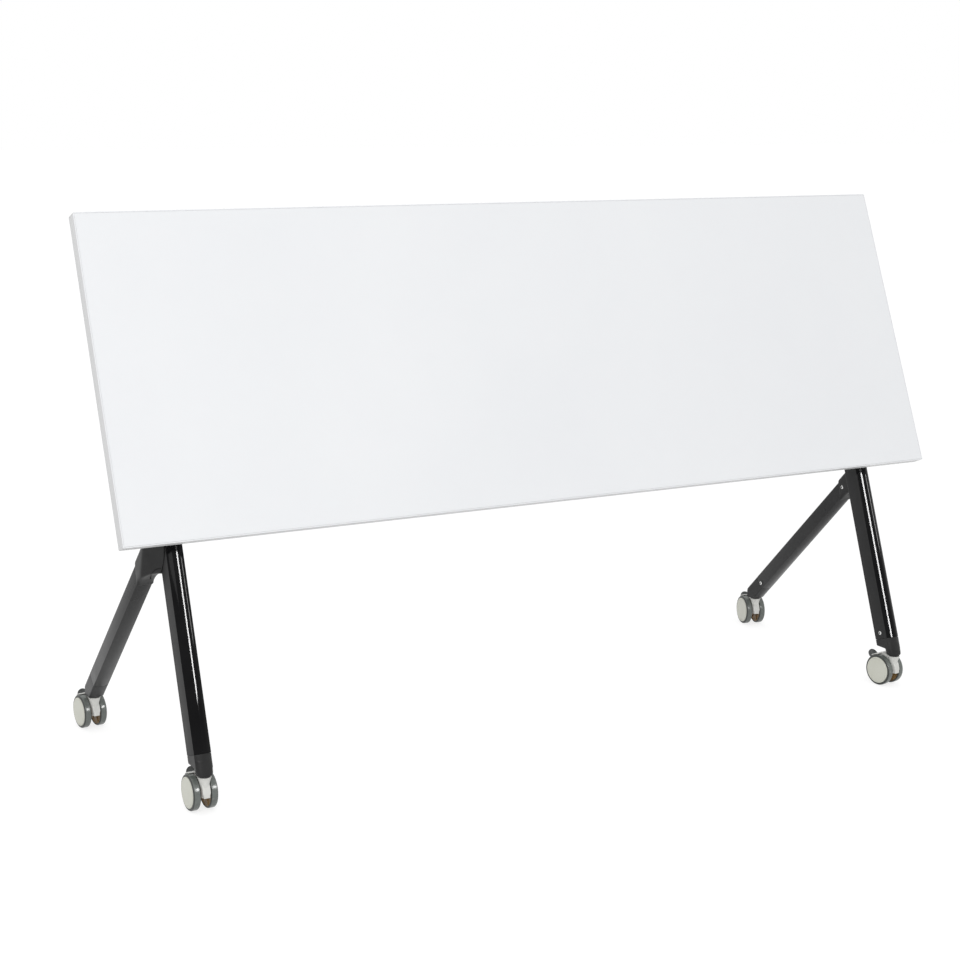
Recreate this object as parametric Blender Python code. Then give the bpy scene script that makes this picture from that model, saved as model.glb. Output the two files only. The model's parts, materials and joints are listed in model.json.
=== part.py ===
# Flip top training table, modelled with the top folded up.
# Metres, +Z up, +X along the table, -Y towards the side the work surface faces when folded.

import math

import bmesh
import bpy
from mathutils import Matrix, Vector

# Tabletop
TOP_WIDTH = 1.800
TOP_DEPTH = 0.600
TOP_THICK = 0.025
BAND_THICK = 0.002

# Flip hinge
WORK_HEIGHT = 0.750
HINGE_DROP = 0.035
HINGE_FROM_EDGE = 0.263
HINGE_SETBACK = 0.0114
FOLD_ANGLE = math.radians(67.5)

# Leg frames
FRAME_INSET = 0.115
WHEELBASE = 0.505
FOOT_Z = 0.069
FRONT_LEAN = math.radians(20.0)
REAR_LEAN = math.radians(44.0)
REAR_OUTSET = 0.0265
LEG_WALL = 0.0025
LEG_CORNER = 0.004
FRONT_LEG_WIDTH = 0.032
FRONT_LEG_DEPTH = 0.044
FRONT_LEG_CROWN = 0.006
REAR_LEG_WIDTH = 0.030
REAR_LEG_DEPTH = 0.034
REAR_LEG_CROWN = 0.003
TENON_LENGTH = 0.035

# Feet
FRONT_FOOT_LENGTH = 0.041
FRONT_HEEL_Z = 0.081
FRONT_BOSS_RADIUS = 0.0125
FRONT_BOSS_RISE = 0.026
FRONT_BOSS_ROUND = 0.007
# Shares of the round: height above the sole, and how far the boss draws in there
FRONT_BOSS_CURVE = ((0.0, 0.3), (0.4, 0.08), (1.0, 0.0))
FRONT_BOSS_SQUARENESS = 0.8
REAR_FOOT_LENGTH = 0.042
REAR_TOE = 0.0142
REAR_HEEL = 0.0130

# Knuckle casting
KNUCKLE_REACH_FRONT = 0.0185
KNUCKLE_REACH_REAR = 0.070
KNUCKLE_SAG = 0.006
KNUCKLE_PROUD = 0.004
KNUCKLE_SIDE_PROUD = 0.0015
KNUCKLE_FRONT_INSET = 0.0090
KNUCKLE_FRONT_LENGTH = 0.040
KNUCKLE_EDGE = 0.003
KNUCKLE_SPLIT_TILT = math.radians(13.0)
KNUCKLE_FLARE_DEPTH = 0.036
KNUCKLE_LIP = 0.0020
KNUCKLE_GROOVE_WIDTH = 0.003
KNUCKLE_GROOVE_DEPTH = 0.0015
KNUCKLE_GROOVE_PITCH = 0.007

# Leg head and hinge pin
HEAD_DROP = 0.050
HEAD_EYE_RADIUS = 0.016
HEAD_EDGE = 0.002
PIN_RADIUS = 0.006
PIN_TIP = 0.0015
PIN_CHAMFER = 0.0006
PIN_HEAD_RADIUS = 0.009
PIN_HEAD_THICK = 0.003

# Crossbeam
BEAM_DROP = 0.090
BEAM_HEIGHT = 0.040
BEAM_DEPTH = 0.030
BEAM_WALL = 0.002
BEAM_CORNER = 0.004

# Bracket under the top
BRACKET_THICK = 0.004
BRACKET_FRONT = 0.084
BRACKET_REAR = 0.070
BRACKET_OUTER = 0.036
BRACKET_INNER = 0.046
EAR_THICK = 0.004
EAR_EYE_RADIUS = 0.014
EAR_BASE_HALF = 0.024

# Latch
BAR_RADIUS = 0.005
BAR_AHEAD = 0.058
BAR_RISE = 0.008
STRIKER_RADIUS = 0.004
STRIKER_AHEAD = 0.014
STRIKER_BELOW = 0.028
STRIKER_SEAT = 0.010
PAWL_SPACING = 0.002
PAWL_THICK = 0.005
PAWL_HALF = 0.004
PAWL_EYE_RADIUS = 0.009
PAWL_NOTCH_ARC = math.radians(34.0)
PAWL_SWING = math.radians(20.0)
BAR_EYE_RADIUS = 0.009
SADDLE_OFFSET = 0.090
SADDLE_LENGTH = 0.018
SADDLE_HALF = 0.010
SADDLE_FOOT = 0.022
SADDLE_FOOT_THICK = 0.004
HANDLE_WIDTH = 0.070
HANDLE_LENGTH = 0.110
HANDLE_THICK = 0.004
HANDLE_SLEEVE_RADIUS = 0.008
HANDLE_LIP = 0.008

# Twin wheel casters
WHEEL_RADIUS = 0.0325
CASTER_TRAIL = 0.0235
WHEEL_GAP_HALF = 0.0092
WHEEL_WIDTH = 0.0136
WHEEL_SHOULDER = 0.0030
HUB_RADIUS = 0.0090
COVER_RADIUS = 0.0278
COVER_SEAT = 0.0020
COVER_PROUD = 0.0010
COVER_CROWN = 0.0006
AXLE_RADIUS = 0.0040
STEM_RADIUS = 0.0050
STEM_SEAT = 0.0135
STEM_FLANGE_RADIUS = 0.0110
STEM_FLANGE_THICK = 0.0021
STEM_DROP = 0.0180
HOUSING_TOP_RADIUS = 0.0125
HOUSING_NECK_RADIUS = 0.0073
HOUSING_NECK_Z = 0.029
HOUSING_NECK_FLARE = 3
HOUSING_WEB_HALF = 0.0072
HOUSING_HUB_RADIUS = 0.0072
HOUSING_HUB_START = math.radians(198.0)
HOUSING_HUB_END = math.radians(342.0)
HOUSING_HOOD_RADIUS = 0.0342
HOUSING_EDGE = 0.0010
HOOD_FRONT_ANGLE = math.radians(165.0)
HOOD_REAR_ANGLE = math.radians(62.0)
PEDAL_SEAT_START = math.radians(-126.0)
PEDAL_SEAT_END = math.radians(-261.0)
PEDAL_ANGLE = math.radians(30.0)
PEDAL_PIVOT_RADIUS = 0.0270
PEDAL_EYE_RADIUS = 0.0050
PEDAL_REACH = 0.0170
PEDAL_PAD_RADIUS = 0.0130
PEDAL_THICK = 0.0050
PEDAL_NECK_HALF = 0.0072
PEDAL_TILT = math.radians(35.0)
PEDAL_EDGE = 0.0012
CASTER_YAW = {
    "front_left": math.radians(0.0),
    "front_right": math.radians(6.5),
    "rear_left": math.radians(4.0),
    "rear_right": math.radians(-14.0),
}

# Clearance between touching pieces, and facets round a full circle
GAP = 0.0003
FACETS = 24
NECK_FACETS = 20
SMALL_FACETS = 12
SMOOTH_ANGLE = math.radians(35.0)

SIDES = {"left": -1.0, "right": 1.0}

# Values worked out from the sizes above; y = 0 is the front stem axis until the frame is centred
HINGE_Z = WORK_HEIGHT - TOP_THICK - HINGE_DROP
HALF_SPACING = TOP_WIDTH / 2 - FRAME_INSET
FRONT_SLOPE = math.tan(FRONT_LEAN)
REAR_SLOPE = math.tan(REAR_LEAN)
PEDAL_END = CASTER_TRAIL + PEDAL_PIVOT_RADIUS * math.cos(PEDAL_ANGLE)
PEDAL_END += (PEDAL_REACH + PEDAL_PAD_RADIUS) * math.cos(PEDAL_TILT)
WHEEL_END = CASTER_TRAIL + WHEEL_RADIUS
REAR_END = WHEELBASE + max(PEDAL_END, WHEEL_END)
FRONT_END = -max(HOUSING_TOP_RADIUS, FRONT_BOSS_RADIUS)
FRONT_STEM_Y = -(FRONT_END + REAR_END) / 2
REAR_STEM_Y = FRONT_STEM_Y + WHEELBASE

# Distances from a front leg's middle plane: ears beside the head, then the pawl, then the bar's ear
EAR_NEAR = FRONT_LEG_WIDTH / 2 + 2 * GAP
EAR_FAR = EAR_NEAR + EAR_THICK
PAWL_NEAR = EAR_FAR + PAWL_SPACING
PAWL_FAR = PAWL_NEAR + PAWL_THICK
BAR_EAR_NEAR = PAWL_FAR + GAP
BAR_EAR_FAR = BAR_EAR_NEAR + EAR_THICK


def ridge_y(z):
    # Front ridge of the front leg at height z
    return FRONT_STEM_Y - FRONT_BOSS_RADIUS + FRONT_SLOPE * (z - FOOT_Z)


HINGE_Y = ridge_y(HINGE_Z) + HINGE_SETBACK


class LegFrame:
    # A leg's own axes: local y across its depth, local z up its axis, x unchanged
    def __init__(self, face_y, face_z, turn, depth):
        self.turn = turn
        self.cos = math.cos(turn)
        self.sin = math.sin(turn)
        self.y = face_y + self.cos * depth / 2
        self.z = face_z + self.sin * depth / 2

    def world(self, y, z):
        return (self.y + self.cos * y - self.sin * z, self.z + self.sin * y + self.cos * z)

    def local(self, y, z):
        dy = y - self.y
        dz = z - self.z
        return (self.cos * dy + self.sin * dz, -self.sin * dy + self.cos * dz)

    def up_to(self, point, along):
        # Local z, for a local y, where the leg meets the plane through point that holds along and x
        def height(y):
            base = self.world(y, 0.0)
            lift = (point[0] - base[0]) * along[1] - (point[1] - base[1]) * along[0]
            return lift / (-self.sin * along[1] - self.cos * along[0])
        return height


FRONT_LEG = LegFrame(FRONT_STEM_Y - FRONT_BOSS_RADIUS, FOOT_Z, -FRONT_LEAN, FRONT_LEG_DEPTH)
REAR_LEG = LegFrame(REAR_STEM_Y - REAR_TOE, FOOT_Z, REAR_LEAN, REAR_LEG_DEPTH)
HEAD_SPLIT = (HINGE_Z - HEAD_DROP - FOOT_Z) / math.cos(FRONT_LEAN)


def clear_scene():
    for obj in list(bpy.data.objects):
        bpy.data.objects.remove(obj, do_unlink=True)


def make_material(name, colour, roughness, metallic):
    mat = bpy.data.materials.new(name)
    mat.use_nodes = True
    shader = mat.node_tree.nodes["Principled BSDF"]
    shader.inputs["Base Color"].default_value = (*colour, 1.0)
    shader.inputs["Roughness"].default_value = roughness
    shader.inputs["Metallic"].default_value = metallic
    return mat


def arc(centre, radius, start, end, steps):
    points = []
    for i in range(steps + 1):
        angle = start + (end - start) * i / steps
        points.append((centre[0] + radius * math.cos(angle), centre[1] + radius * math.sin(angle)))
    return points


def circle(centre, radius, steps):
    # Half a facet round, so that no corner lies level with the centre
    start = math.pi / steps
    return arc(centre, radius, start, start + math.tau, steps)[:-1]


def bowed(start, end, sag, steps):
    # Points from start to end on an arc that bulges to the left of travel by sag
    a = Vector(start)
    b = Vector(end)
    side = Vector((a.y - b.y, b.x - a.x)).normalized()
    points = []
    for i in range(steps + 1):
        t = i / steps
        point = a.lerp(b, t) + side * sag * 4 * t * (1 - t)
        points.append((point.x, point.y))
    return points


def meet(point_a, along_a, point_b, along_b):
    # Where two lines in a plane cross
    det = along_a[0] * along_b[1] - along_a[1] * along_b[0]
    dx = point_b[0] - point_a[0]
    dy = point_b[1] - point_a[1]
    t = (dx * along_b[1] - dy * along_b[0]) / det
    return (point_a[0] + along_a[0] * t, point_a[1] + along_a[1] * t)


def step_along(point, along, distance):
    return (point[0] + along[0] * distance, point[1] + along[1] * distance)


def finish_mesh(name, bm, mat):
    bmesh.ops.remove_doubles(bm, verts=bm.verts, dist=1e-7)
    bmesh.ops.recalc_face_normals(bm, faces=bm.faces)
    mesh = bpy.data.meshes.new(name)
    bm.to_mesh(mesh)
    bm.free()
    obj = bpy.data.objects.new(name, mesh)
    bpy.context.scene.collection.objects.link(obj)
    if mat:
        mesh.materials.append(mat)
    smooth(mesh)
    return obj


def smooth(mesh):
    mesh.shade_smooth()
    mesh.set_sharp_from_angle(angle=SMOOTH_ANGLE)


def bridge(bm, ring_a, ring_b):
    count = len(ring_a)
    for i in range(count):
        j = (i + 1) % count
        bm.faces.new((ring_a[i], ring_a[j], ring_b[j], ring_b[i]))


def loft(name, rings, mat, closed=False):
    # Skin through rings of 3-D points; capped at both ends, or joined last to first
    bm = bmesh.new()
    loops = [[bm.verts.new(p) for p in ring] for ring in rings]
    for lower, upper in zip(loops, loops[1:]):
        bridge(bm, lower, upper)
    if closed:
        bridge(bm, loops[-1], loops[0])
    else:
        bm.faces.new(loops[0])
        bm.faces.new(loops[-1])
    return finish_mesh(name, bm, mat)


def extrude(name, outline, x_start, x_end, mat, edge=0.0, edge_ends=(True, True)):
    # Outline of (y, z) points drawn along x, with the rims of the chosen ends rounded
    bm = bmesh.new()
    ends = []
    for x in (x_start, x_end):
        ends.append([bm.verts.new((x, y, z)) for y, z in outline])
    bridge(bm, ends[0], ends[1])
    caps = [bm.faces.new(ring) for ring in ends]
    bmesh.ops.recalc_face_normals(bm, faces=bm.faces)
    if edge:
        rims = {e for cap, wanted in zip(caps, edge_ends) if wanted for e in cap.edges}
        bmesh.ops.bevel(bm, geom=list(rims), offset=edge, segments=2, profile=0.5, affect="EDGES")
    return finish_mesh(name, bm, mat)


def turned(name, profile, mat, axis, steps, closed=False):
    # Profile of (radius, height) points turned about x or z; a radius of 0 is a pole
    bm = bmesh.new()

    def spot(radius, height, i):
        a = math.tau * i / steps
        if axis == "z":
            return (radius * math.cos(a), radius * math.sin(a), height)
        return (height, radius * math.cos(a), radius * math.sin(a))

    rings = []
    for radius, height in profile:
        count = 1 if radius == 0 else steps
        rings.append([bm.verts.new(spot(radius, height, i)) for i in range(count)])
    pairs = list(zip(rings, rings[1:]))
    if closed:
        pairs.append((rings[-1], rings[0]))
    for lower, upper in pairs:
        if len(lower) == 1 or len(upper) == 1:
            pole, ring = (lower[0], upper) if len(lower) == 1 else (upper[0], lower)
            for i in range(steps):
                bm.faces.new((pole, ring[i], ring[(i + 1) % steps]))
        else:
            bridge(bm, lower, upper)
    return finish_mesh(name, bm, mat)


def combine(target, tool, operation):
    # Boolean of two pieces in the same axes; the tool is used up
    mod = target.modifiers.new(operation.lower(), "BOOLEAN")
    mod.operation = operation
    mod.solver = "EXACT"
    mod.object = tool
    bpy.context.view_layer.update()
    graph = bpy.context.evaluated_depsgraph_get()
    mesh = bpy.data.meshes.new_from_object(target.evaluated_get(graph))
    target.modifiers.clear()
    mesh.name = target.name
    target.data = mesh
    bpy.data.objects.remove(tool, do_unlink=True)
    smooth(mesh)


def cut_bore(target, centre, radius, x_start, x_end, steps=SMALL_FACETS):
    # Round hole along x through a piece
    tool = extrude("bore_tool", circle(centre, radius, steps), x_start, x_end, None)
    combine(target, tool, "DIFFERENCE")


def place(obj, parent, location=(0.0, 0.0, 0.0), turn_x=0.0):
    obj.parent = parent
    obj.location = location
    obj.rotation_euler = (turn_x, 0.0, 0.0)
    return obj


def empty(name, parent, location, turn=(0.0, 0.0, 0.0)):
    obj = bpy.data.objects.new(name, None)
    bpy.context.scene.collection.objects.link(obj)
    obj.parent = parent
    obj.location = location
    obj.rotation_euler = turn
    return obj


def leg_section(width, depth, crown, corner):
    # Leg extrusion outline: crowned front face at -y, flat sides, rounded back corners
    half = width / 2
    front = -depth / 2
    points = bowed((-half, front + crown), (half, front + crown), -crown, 8)
    points += arc((half - corner, depth / 2 - corner), corner, 0.0, math.pi / 2, 3)
    points += arc((corner - half, depth / 2 - corner), corner, math.pi / 2, math.pi, 3)
    return points


def front_section(inset):
    return leg_section(FRONT_LEG_WIDTH - 2 * inset, FRONT_LEG_DEPTH - 2 * inset, FRONT_LEG_CROWN,
                       LEG_CORNER - inset / 2)


def rear_section(inset):
    return leg_section(REAR_LEG_WIDTH - 2 * inset, REAR_LEG_DEPTH - 2 * inset, REAR_LEG_CROWN,
                       LEG_CORNER - inset / 2)


def ring_at(section, height):
    # Section as 3-D points, at a fixed local z or at one that follows local y
    return [(x, y, height(y) if callable(height) else height) for x, y in section]


def hollow_leg(name, section, start, end, mat):
    outer = section(0.0)
    inner = section(LEG_WALL)
    rings = [ring_at(outer, start), ring_at(outer, end), ring_at(inner, end), ring_at(inner, start)]
    return loft(name, rings, mat, closed=True)


def knuckle_outline():
    # Side view of the knuckle casting, as world (y, z) points
    up_front = (-FRONT_LEG.sin, FRONT_LEG.cos)
    up_rear = (-REAR_LEG.sin, REAR_LEG.cos)
    back_face = FRONT_LEG.world(FRONT_LEG_DEPTH / 2, 0.0)
    under_face = REAR_LEG.world(-REAR_LEG_DEPTH / 2, 0.0)
    upper_face = REAR_LEG.world(REAR_LEG_DEPTH / 2 + KNUCKLE_PROUD, 0.0)
    front_edge = FRONT_LEG.world(-FRONT_LEG_DEPTH / 2 + KNUCKLE_FRONT_INSET, 0.0)
    vertex = meet(back_face, up_front, under_face, up_rear)
    crotch_front = step_along(vertex, up_front, -KNUCKLE_REACH_FRONT)
    crotch_rear = step_along(vertex, up_rear, -KNUCKLE_REACH_REAR)
    split = (math.sin(KNUCKLE_SPLIT_TILT), math.cos(KNUCKLE_SPLIT_TILT))
    split_top = meet(crotch_rear, split, upper_face, up_rear)
    nose = meet(front_edge, up_front, upper_face, up_rear)
    chin = step_along(nose, up_front, -KNUCKLE_FRONT_LENGTH)
    points = bowed(crotch_rear, crotch_front, -KNUCKLE_SAG, 8)
    points += bowed(crotch_front, chin, KNUCKLE_SAG / 2, 4)[1:]
    points += [nose, split_top]
    return points, crotch_rear, split


def build_knuckle(name, side, mat):
    outline, corner, split = knuckle_outline()
    half = REAR_LEG_WIDTH / 2 + KNUCKLE_SIDE_PROUD
    inner = side * (REAR_OUTSET - half)
    outer = side * (REAR_OUTSET + half)
    knuckle = extrude(name, outline, inner, outer, mat, KNUCKLE_EDGE)
    # Room for the front leg beside and behind the cheek
    face = FRONT_LEG_WIDTH / 2 + GAP
    back = FRONT_LEG_DEPTH / 2 + GAP
    ahead = -FRONT_LEG_DEPTH
    room = [FRONT_LEG.world(ahead, 0.0), FRONT_LEG.world(back, 0.0)]
    room += [FRONT_LEG.world(back, HEAD_SPLIT), FRONT_LEG.world(ahead, HEAD_SPLIT)]
    combine(knuckle, extrude("leg_room", room, -side * face, side * face, None), "DIFFERENCE")
    # Outer face flares from the front leg's front corner out to the rear leg's plane
    lip = FRONT_LEG_WIDTH / 2 + KNUCKLE_LIP
    start = -FRONT_LEG_DEPTH / 2 + KNUCKLE_FRONT_INSET
    flare = [(side * lip, start - KNUCKLE_FLARE_DEPTH), (side * lip, start)]
    flare += [(outer + side * KNUCKLE_EDGE, start + KNUCKLE_FLARE_DEPTH)]
    flare += [(outer + side * KNUCKLE_EDGE, start - KNUCKLE_FLARE_DEPTH)]
    wedge = loft("flare", [ring_at(flare, 0.0), ring_at(flare, HEAD_SPLIT)], None)
    wedge.data.transform(leg_matrix(FRONT_LEG, 0.0))
    combine(knuckle, wedge, "DIFFERENCE")
    # Grooves along the crotch leave the ribs of its web
    groove = knuckle_groove(outline)
    for offset in (-KNUCKLE_GROOVE_PITCH / 2, KNUCKLE_GROOVE_PITCH / 2):
        x = side * REAR_OUTSET + offset
        tool = extrude("groove", groove, x - KNUCKLE_GROOVE_WIDTH / 2, x + KNUCKLE_GROOVE_WIDTH / 2, None)
        combine(knuckle, tool, "DIFFERENCE")
    # Tenon inside the rear leg
    fit = rear_section(LEG_WALL + GAP)
    wall = REAR_LEG.up_to(step_along(corner, (-1.0, 0.0), KNUCKLE_EDGE), split)
    low = REAR_LEG.up_to(corner, split)(-REAR_LEG_DEPTH / 2) - TENON_LENGTH / 2
    tenon = loft("tenon", [ring_at(fit, low), ring_at(fit, wall)], None)
    tenon.data.transform(leg_matrix(REAR_LEG, side * REAR_OUTSET))
    combine(knuckle, tenon, "UNION")
    return knuckle


def knuckle_groove(outline):
    # Crescent that follows the crotch arc and sinks into it
    arc_points = outline[2:7]
    lifted = [(y, z + KNUCKLE_GROOVE_DEPTH) for y, z in arc_points]
    lowered = [(y, z - KNUCKLE_GROOVE_DEPTH) for y, z in arc_points]
    return lifted + lowered[::-1]


def leg_matrix(frame, x):
    return Matrix.Translation((x, frame.y, frame.z)) @ Matrix.Rotation(frame.turn, 4, "X")


def build_front_foot(name, side, mat):
    outer = front_section(0.0)
    fit = front_section(LEG_WALL + GAP)
    split = FRONT_FOOT_LENGTH
    heel = FRONT_LEG.up_to((FRONT_STEM_Y, FRONT_HEEL_Z), (1.0, 0.0))
    rings = [ring_at(outer, heel), ring_at(outer, split - GAP)]
    rings += [ring_at(fit, split - GAP), ring_at(fit, split + TENON_LENGTH)]
    foot = loft(name, rings, mat)
    foot.data.transform(leg_matrix(FRONT_LEG, side * HALF_SPACING))
    # Full boss round the caster stem, drawn up along the leg and rounded at its end
    boss_rings = []
    for lift, inset in FRONT_BOSS_CURVE + ((FRONT_BOSS_RISE / FRONT_BOSS_ROUND, 0.0),):
        z = FOOT_Z + FRONT_BOSS_ROUND * lift
        y = FRONT_STEM_Y + FRONT_SLOPE * (z - FOOT_Z)
        wide = FRONT_LEG_WIDTH / 2 - FRONT_BOSS_ROUND * inset
        deep = FRONT_BOSS_RADIUS - FRONT_BOSS_ROUND * inset / 2
        ring = circle((0.0, 0.0), 1.0, NECK_FACETS)
        boss_rings.append([(side * HALF_SPACING + wide * full(a), y + deep * full(b), z) for a, b in ring])
    combine(foot, loft("boss", boss_rings, None), "UNION")
    bore_stem(foot, side * HALF_SPACING, FRONT_STEM_Y)
    return foot


def full(value):
    # Swells a circle towards a rounded square
    return math.copysign(abs(value) ** FRONT_BOSS_SQUARENESS, value)


def bore_stem(foot, x, y):
    # Blind seat for the caster stem
    rings = []
    for z in (FOOT_Z - STEM_SEAT, FOOT_Z + STEM_SEAT):
        rings.append([(px, py, z) for px, py in circle((x, y), STEM_RADIUS + GAP, SMALL_FACETS)])
    combine(foot, loft("seat", rings, None), "DIFFERENCE")


def build_rear_foot(name, side, mat):
    outer = rear_section(0.0)
    fit = rear_section(LEG_WALL + GAP)
    split = REAR_FOOT_LENGTH
    sole = REAR_LEG.up_to((REAR_STEM_Y, FOOT_Z), (1.0, 0.0))
    rings = [ring_at(outer, sole), ring_at(outer, split - GAP)]
    rings += [ring_at(fit, split - GAP), ring_at(fit, split + TENON_LENGTH)]
    x = side * (HALF_SPACING + REAR_OUTSET)
    foot = loft(name, rings, mat)
    foot.data.transform(leg_matrix(REAR_LEG, x))
    # Upright heel behind the stem
    heel = REAR_STEM_Y + REAR_HEEL
    reach = REAR_LEG_DEPTH * 2
    behind = [(heel, FOOT_Z - reach), (heel + reach, FOOT_Z - reach)]
    behind += [(heel + reach, FOOT_Z + reach), (heel, FOOT_Z + reach)]
    combine(foot, extrude("behind", behind, x - reach, x + reach, None), "DIFFERENCE")
    bore_stem(foot, x, REAR_STEM_Y)
    return foot


def build_leg_head(name, side, mat):
    # Casting on top of the front leg, with the hinge eye and the striker's seat
    low_front = FRONT_LEG.world(-FRONT_LEG_DEPTH / 2, HEAD_SPLIT + GAP)
    low_back = FRONT_LEG.world(FRONT_LEG_DEPTH / 2, HEAD_SPLIT + GAP)
    eye = (HINGE_Y, HINGE_Z)
    outline = [low_front, low_back]
    outline += arc(eye, HEAD_EYE_RADIUS, -FRONT_LEAN, math.pi - FRONT_LEAN / 4, 12)
    half = FRONT_LEG_WIDTH / 2
    x = side * HALF_SPACING
    head = extrude(name, outline, x - half, x + half, mat, HEAD_EDGE)
    fit = front_section(LEG_WALL + GAP)
    tenon = loft("tenon", [ring_at(fit, HEAD_SPLIT - TENON_LENGTH), ring_at(fit, HEAD_SPLIT + HEAD_EDGE * 2)],
                 None)
    tenon.data.transform(leg_matrix(FRONT_LEG, x))
    combine(head, tenon, "UNION")
    cut_bore(head, eye, PIN_RADIUS + GAP, x - half * 2, x + half * 2)
    inner = -side * half
    seat = striker_place()
    cut_bore(head, seat, STRIKER_RADIUS + GAP, x + inner * 2, x + inner - math.copysign(STRIKER_SEAT, inner))
    return head


def striker_place():
    return (HINGE_Y - STRIKER_AHEAD, HINGE_Z - STRIKER_BELOW)


def build_hinge_pin(name, side, mat):
    tip = EAR_FAR + PIN_TIP
    head = EAR_FAR + GAP
    profile = [(0.0, -tip), (PIN_RADIUS - PIN_CHAMFER, -tip), (PIN_RADIUS, PIN_CHAMFER - tip), (PIN_RADIUS, head)]
    profile += [(PIN_HEAD_RADIUS, head), (PIN_HEAD_RADIUS, head + PIN_HEAD_THICK), (0.0, head + PIN_HEAD_THICK)]
    return turned(name, [(r, side * h) for r, h in profile], mat, "x", SMALL_FACETS)


def build_striker(name, side, mat):
    half = FRONT_LEG_WIDTH / 2
    start = -side * (half - STRIKER_SEAT + GAP)
    end = -side * PAWL_FAR
    return turned(name, [(0.0, start), (STRIKER_RADIUS, start), (STRIKER_RADIUS, end), (0.0, end)],
                  mat, "x", SMALL_FACETS)


def rounded_box(width, height, corner):
    half_w = width / 2 - corner
    half_h = height / 2 - corner
    points = []
    for i, (a, b) in enumerate(((1, 1), (-1, 1), (-1, -1), (1, -1))):
        points += arc((a * half_w, b * half_h), corner, i * math.pi / 2, (i + 1) * math.pi / 2, 3)
    return points


def build_crossbeam(name, mat):
    # Rectangular tube bolted behind both front legs, open at its ends
    half = HALF_SPACING + FRONT_LEG_WIDTH / 2
    rise = (HINGE_Z - BEAM_DROP - FOOT_Z) / math.cos(FRONT_LEAN)
    middle = FRONT_LEG_DEPTH / 2 + GAP + BEAM_DEPTH / 2
    outer = rounded_box(BEAM_DEPTH, BEAM_HEIGHT, BEAM_CORNER)
    inner = rounded_box(BEAM_DEPTH - 2 * BEAM_WALL, BEAM_HEIGHT - 2 * BEAM_WALL, BEAM_CORNER - BEAM_WALL)

    def ring(points, x):
        return [(x, *FRONT_LEG.world(middle + a, rise + b)) for a, b in points]

    rings = [ring(outer, -half), ring(outer, half), ring(inner, half), ring(inner, -half)]
    return loft(name, rings, mat, closed=True)


def slab(name, x_range, y_range, z_range, mat):
    outline = [(y_range[0], z_range[0]), (y_range[1], z_range[0])]
    outline += [(y_range[1], z_range[1]), (y_range[0], z_range[1])]
    return extrude(name, outline, x_range[0], x_range[1], mat)


def build_tabletop(name, mat):
    # Board in the axes of the open top: hinge axis at y = z = 0, work surface up
    half = TOP_WIDTH / 2 - BAND_THICK - GAP
    front = BAND_THICK + GAP - HINGE_FROM_EDGE
    back = TOP_DEPTH - HINGE_FROM_EDGE - BAND_THICK - GAP
    return slab(name, (-half, half), (front, back), (HINGE_DROP, HINGE_DROP + TOP_THICK), mat)


def build_edge_band(name, mat):
    def ring(inset, z):
        half = TOP_WIDTH / 2 - inset
        front = inset - HINGE_FROM_EDGE
        back = TOP_DEPTH - HINGE_FROM_EDGE - inset
        return [(-half, front, z), (half, front, z), (half, back, z), (-half, back, z)]

    low = HINGE_DROP
    high = HINGE_DROP + TOP_THICK
    rings = [ring(0.0, low), ring(0.0, high), ring(BAND_THICK, high), ring(BAND_THICK, low)]
    return loft(name, rings, mat, closed=True)


def ear_outline(eye, radius, base_half, base_z):
    # Ear hanging from the bracket plate, widening from its eye to its root
    points = arc(eye, radius, math.pi, math.tau, 10)
    return points + [(eye[0] + base_half, base_z), (eye[0] - base_half, base_z)]


def build_bracket(name, side, mat):
    x = side * HALF_SPACING
    top = HINGE_DROP - GAP
    under = top - BRACKET_THICK
    span = sorted((x - side * BRACKET_INNER, x + side * BRACKET_OUTER))
    bracket = slab(name, span, (-BRACKET_FRONT, BRACKET_REAR), (under, top), mat)
    hinge = (0.0, 0.0)
    bar = (-BAR_AHEAD, BAR_RISE)
    ears = [(-EAR_NEAR, -EAR_FAR, hinge, EAR_EYE_RADIUS, EAR_BASE_HALF)]
    ears += [(EAR_NEAR, EAR_FAR, hinge, EAR_EYE_RADIUS, EAR_BASE_HALF)]
    ears += [(-BAR_EAR_NEAR, -BAR_EAR_FAR, bar, BAR_EYE_RADIUS, BAR_EYE_RADIUS + GAP)]
    for start, end, eye, radius, base in ears:
        outline = ear_outline(eye, radius, base, under + BRACKET_THICK / 2)
        combine(bracket, extrude("ear", outline, x + side * start, x + side * end, None), "UNION")
    cut_bore(bracket, hinge, PIN_RADIUS + GAP, x - EAR_FAR - EAR_THICK, x + EAR_FAR + EAR_THICK)
    cut_bore(bracket, bar, BAR_RADIUS + GAP, x - side * PAWL_NEAR, x - side * (BAR_EAR_FAR + EAR_THICK))
    return bracket


def build_saddle(name, x, mat):
    # Foot on the underside and a block that carries the release bar
    top = HINGE_DROP - GAP
    outline = arc((0.0, 0.0), SADDLE_HALF, math.pi, math.tau, 10)
    foot_under = top - SADDLE_FOOT_THICK - BAR_RISE
    roof = top - BAR_RISE
    outline += [(SADDLE_HALF, foot_under), (SADDLE_FOOT, foot_under), (SADDLE_FOOT, roof)]
    outline += [(-SADDLE_FOOT, roof), (-SADDLE_FOOT, foot_under), (-SADDLE_HALF, foot_under)]
    saddle = extrude(name, outline, x - SADDLE_LENGTH / 2, x + SADDLE_LENGTH / 2, mat)
    cut_bore(saddle, (0.0, 0.0), BAR_RADIUS + GAP, x - SADDLE_LENGTH, x + SADDLE_LENGTH)
    return saddle


def build_release_bar(name, mat):
    half = HALF_SPACING - PAWL_NEAR - GAP
    profile = [(0.0, -half), (BAR_RADIUS, -half), (BAR_RADIUS, half), (0.0, half)]
    return turned(name, profile, mat, "x", SMALL_FACETS)


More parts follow.
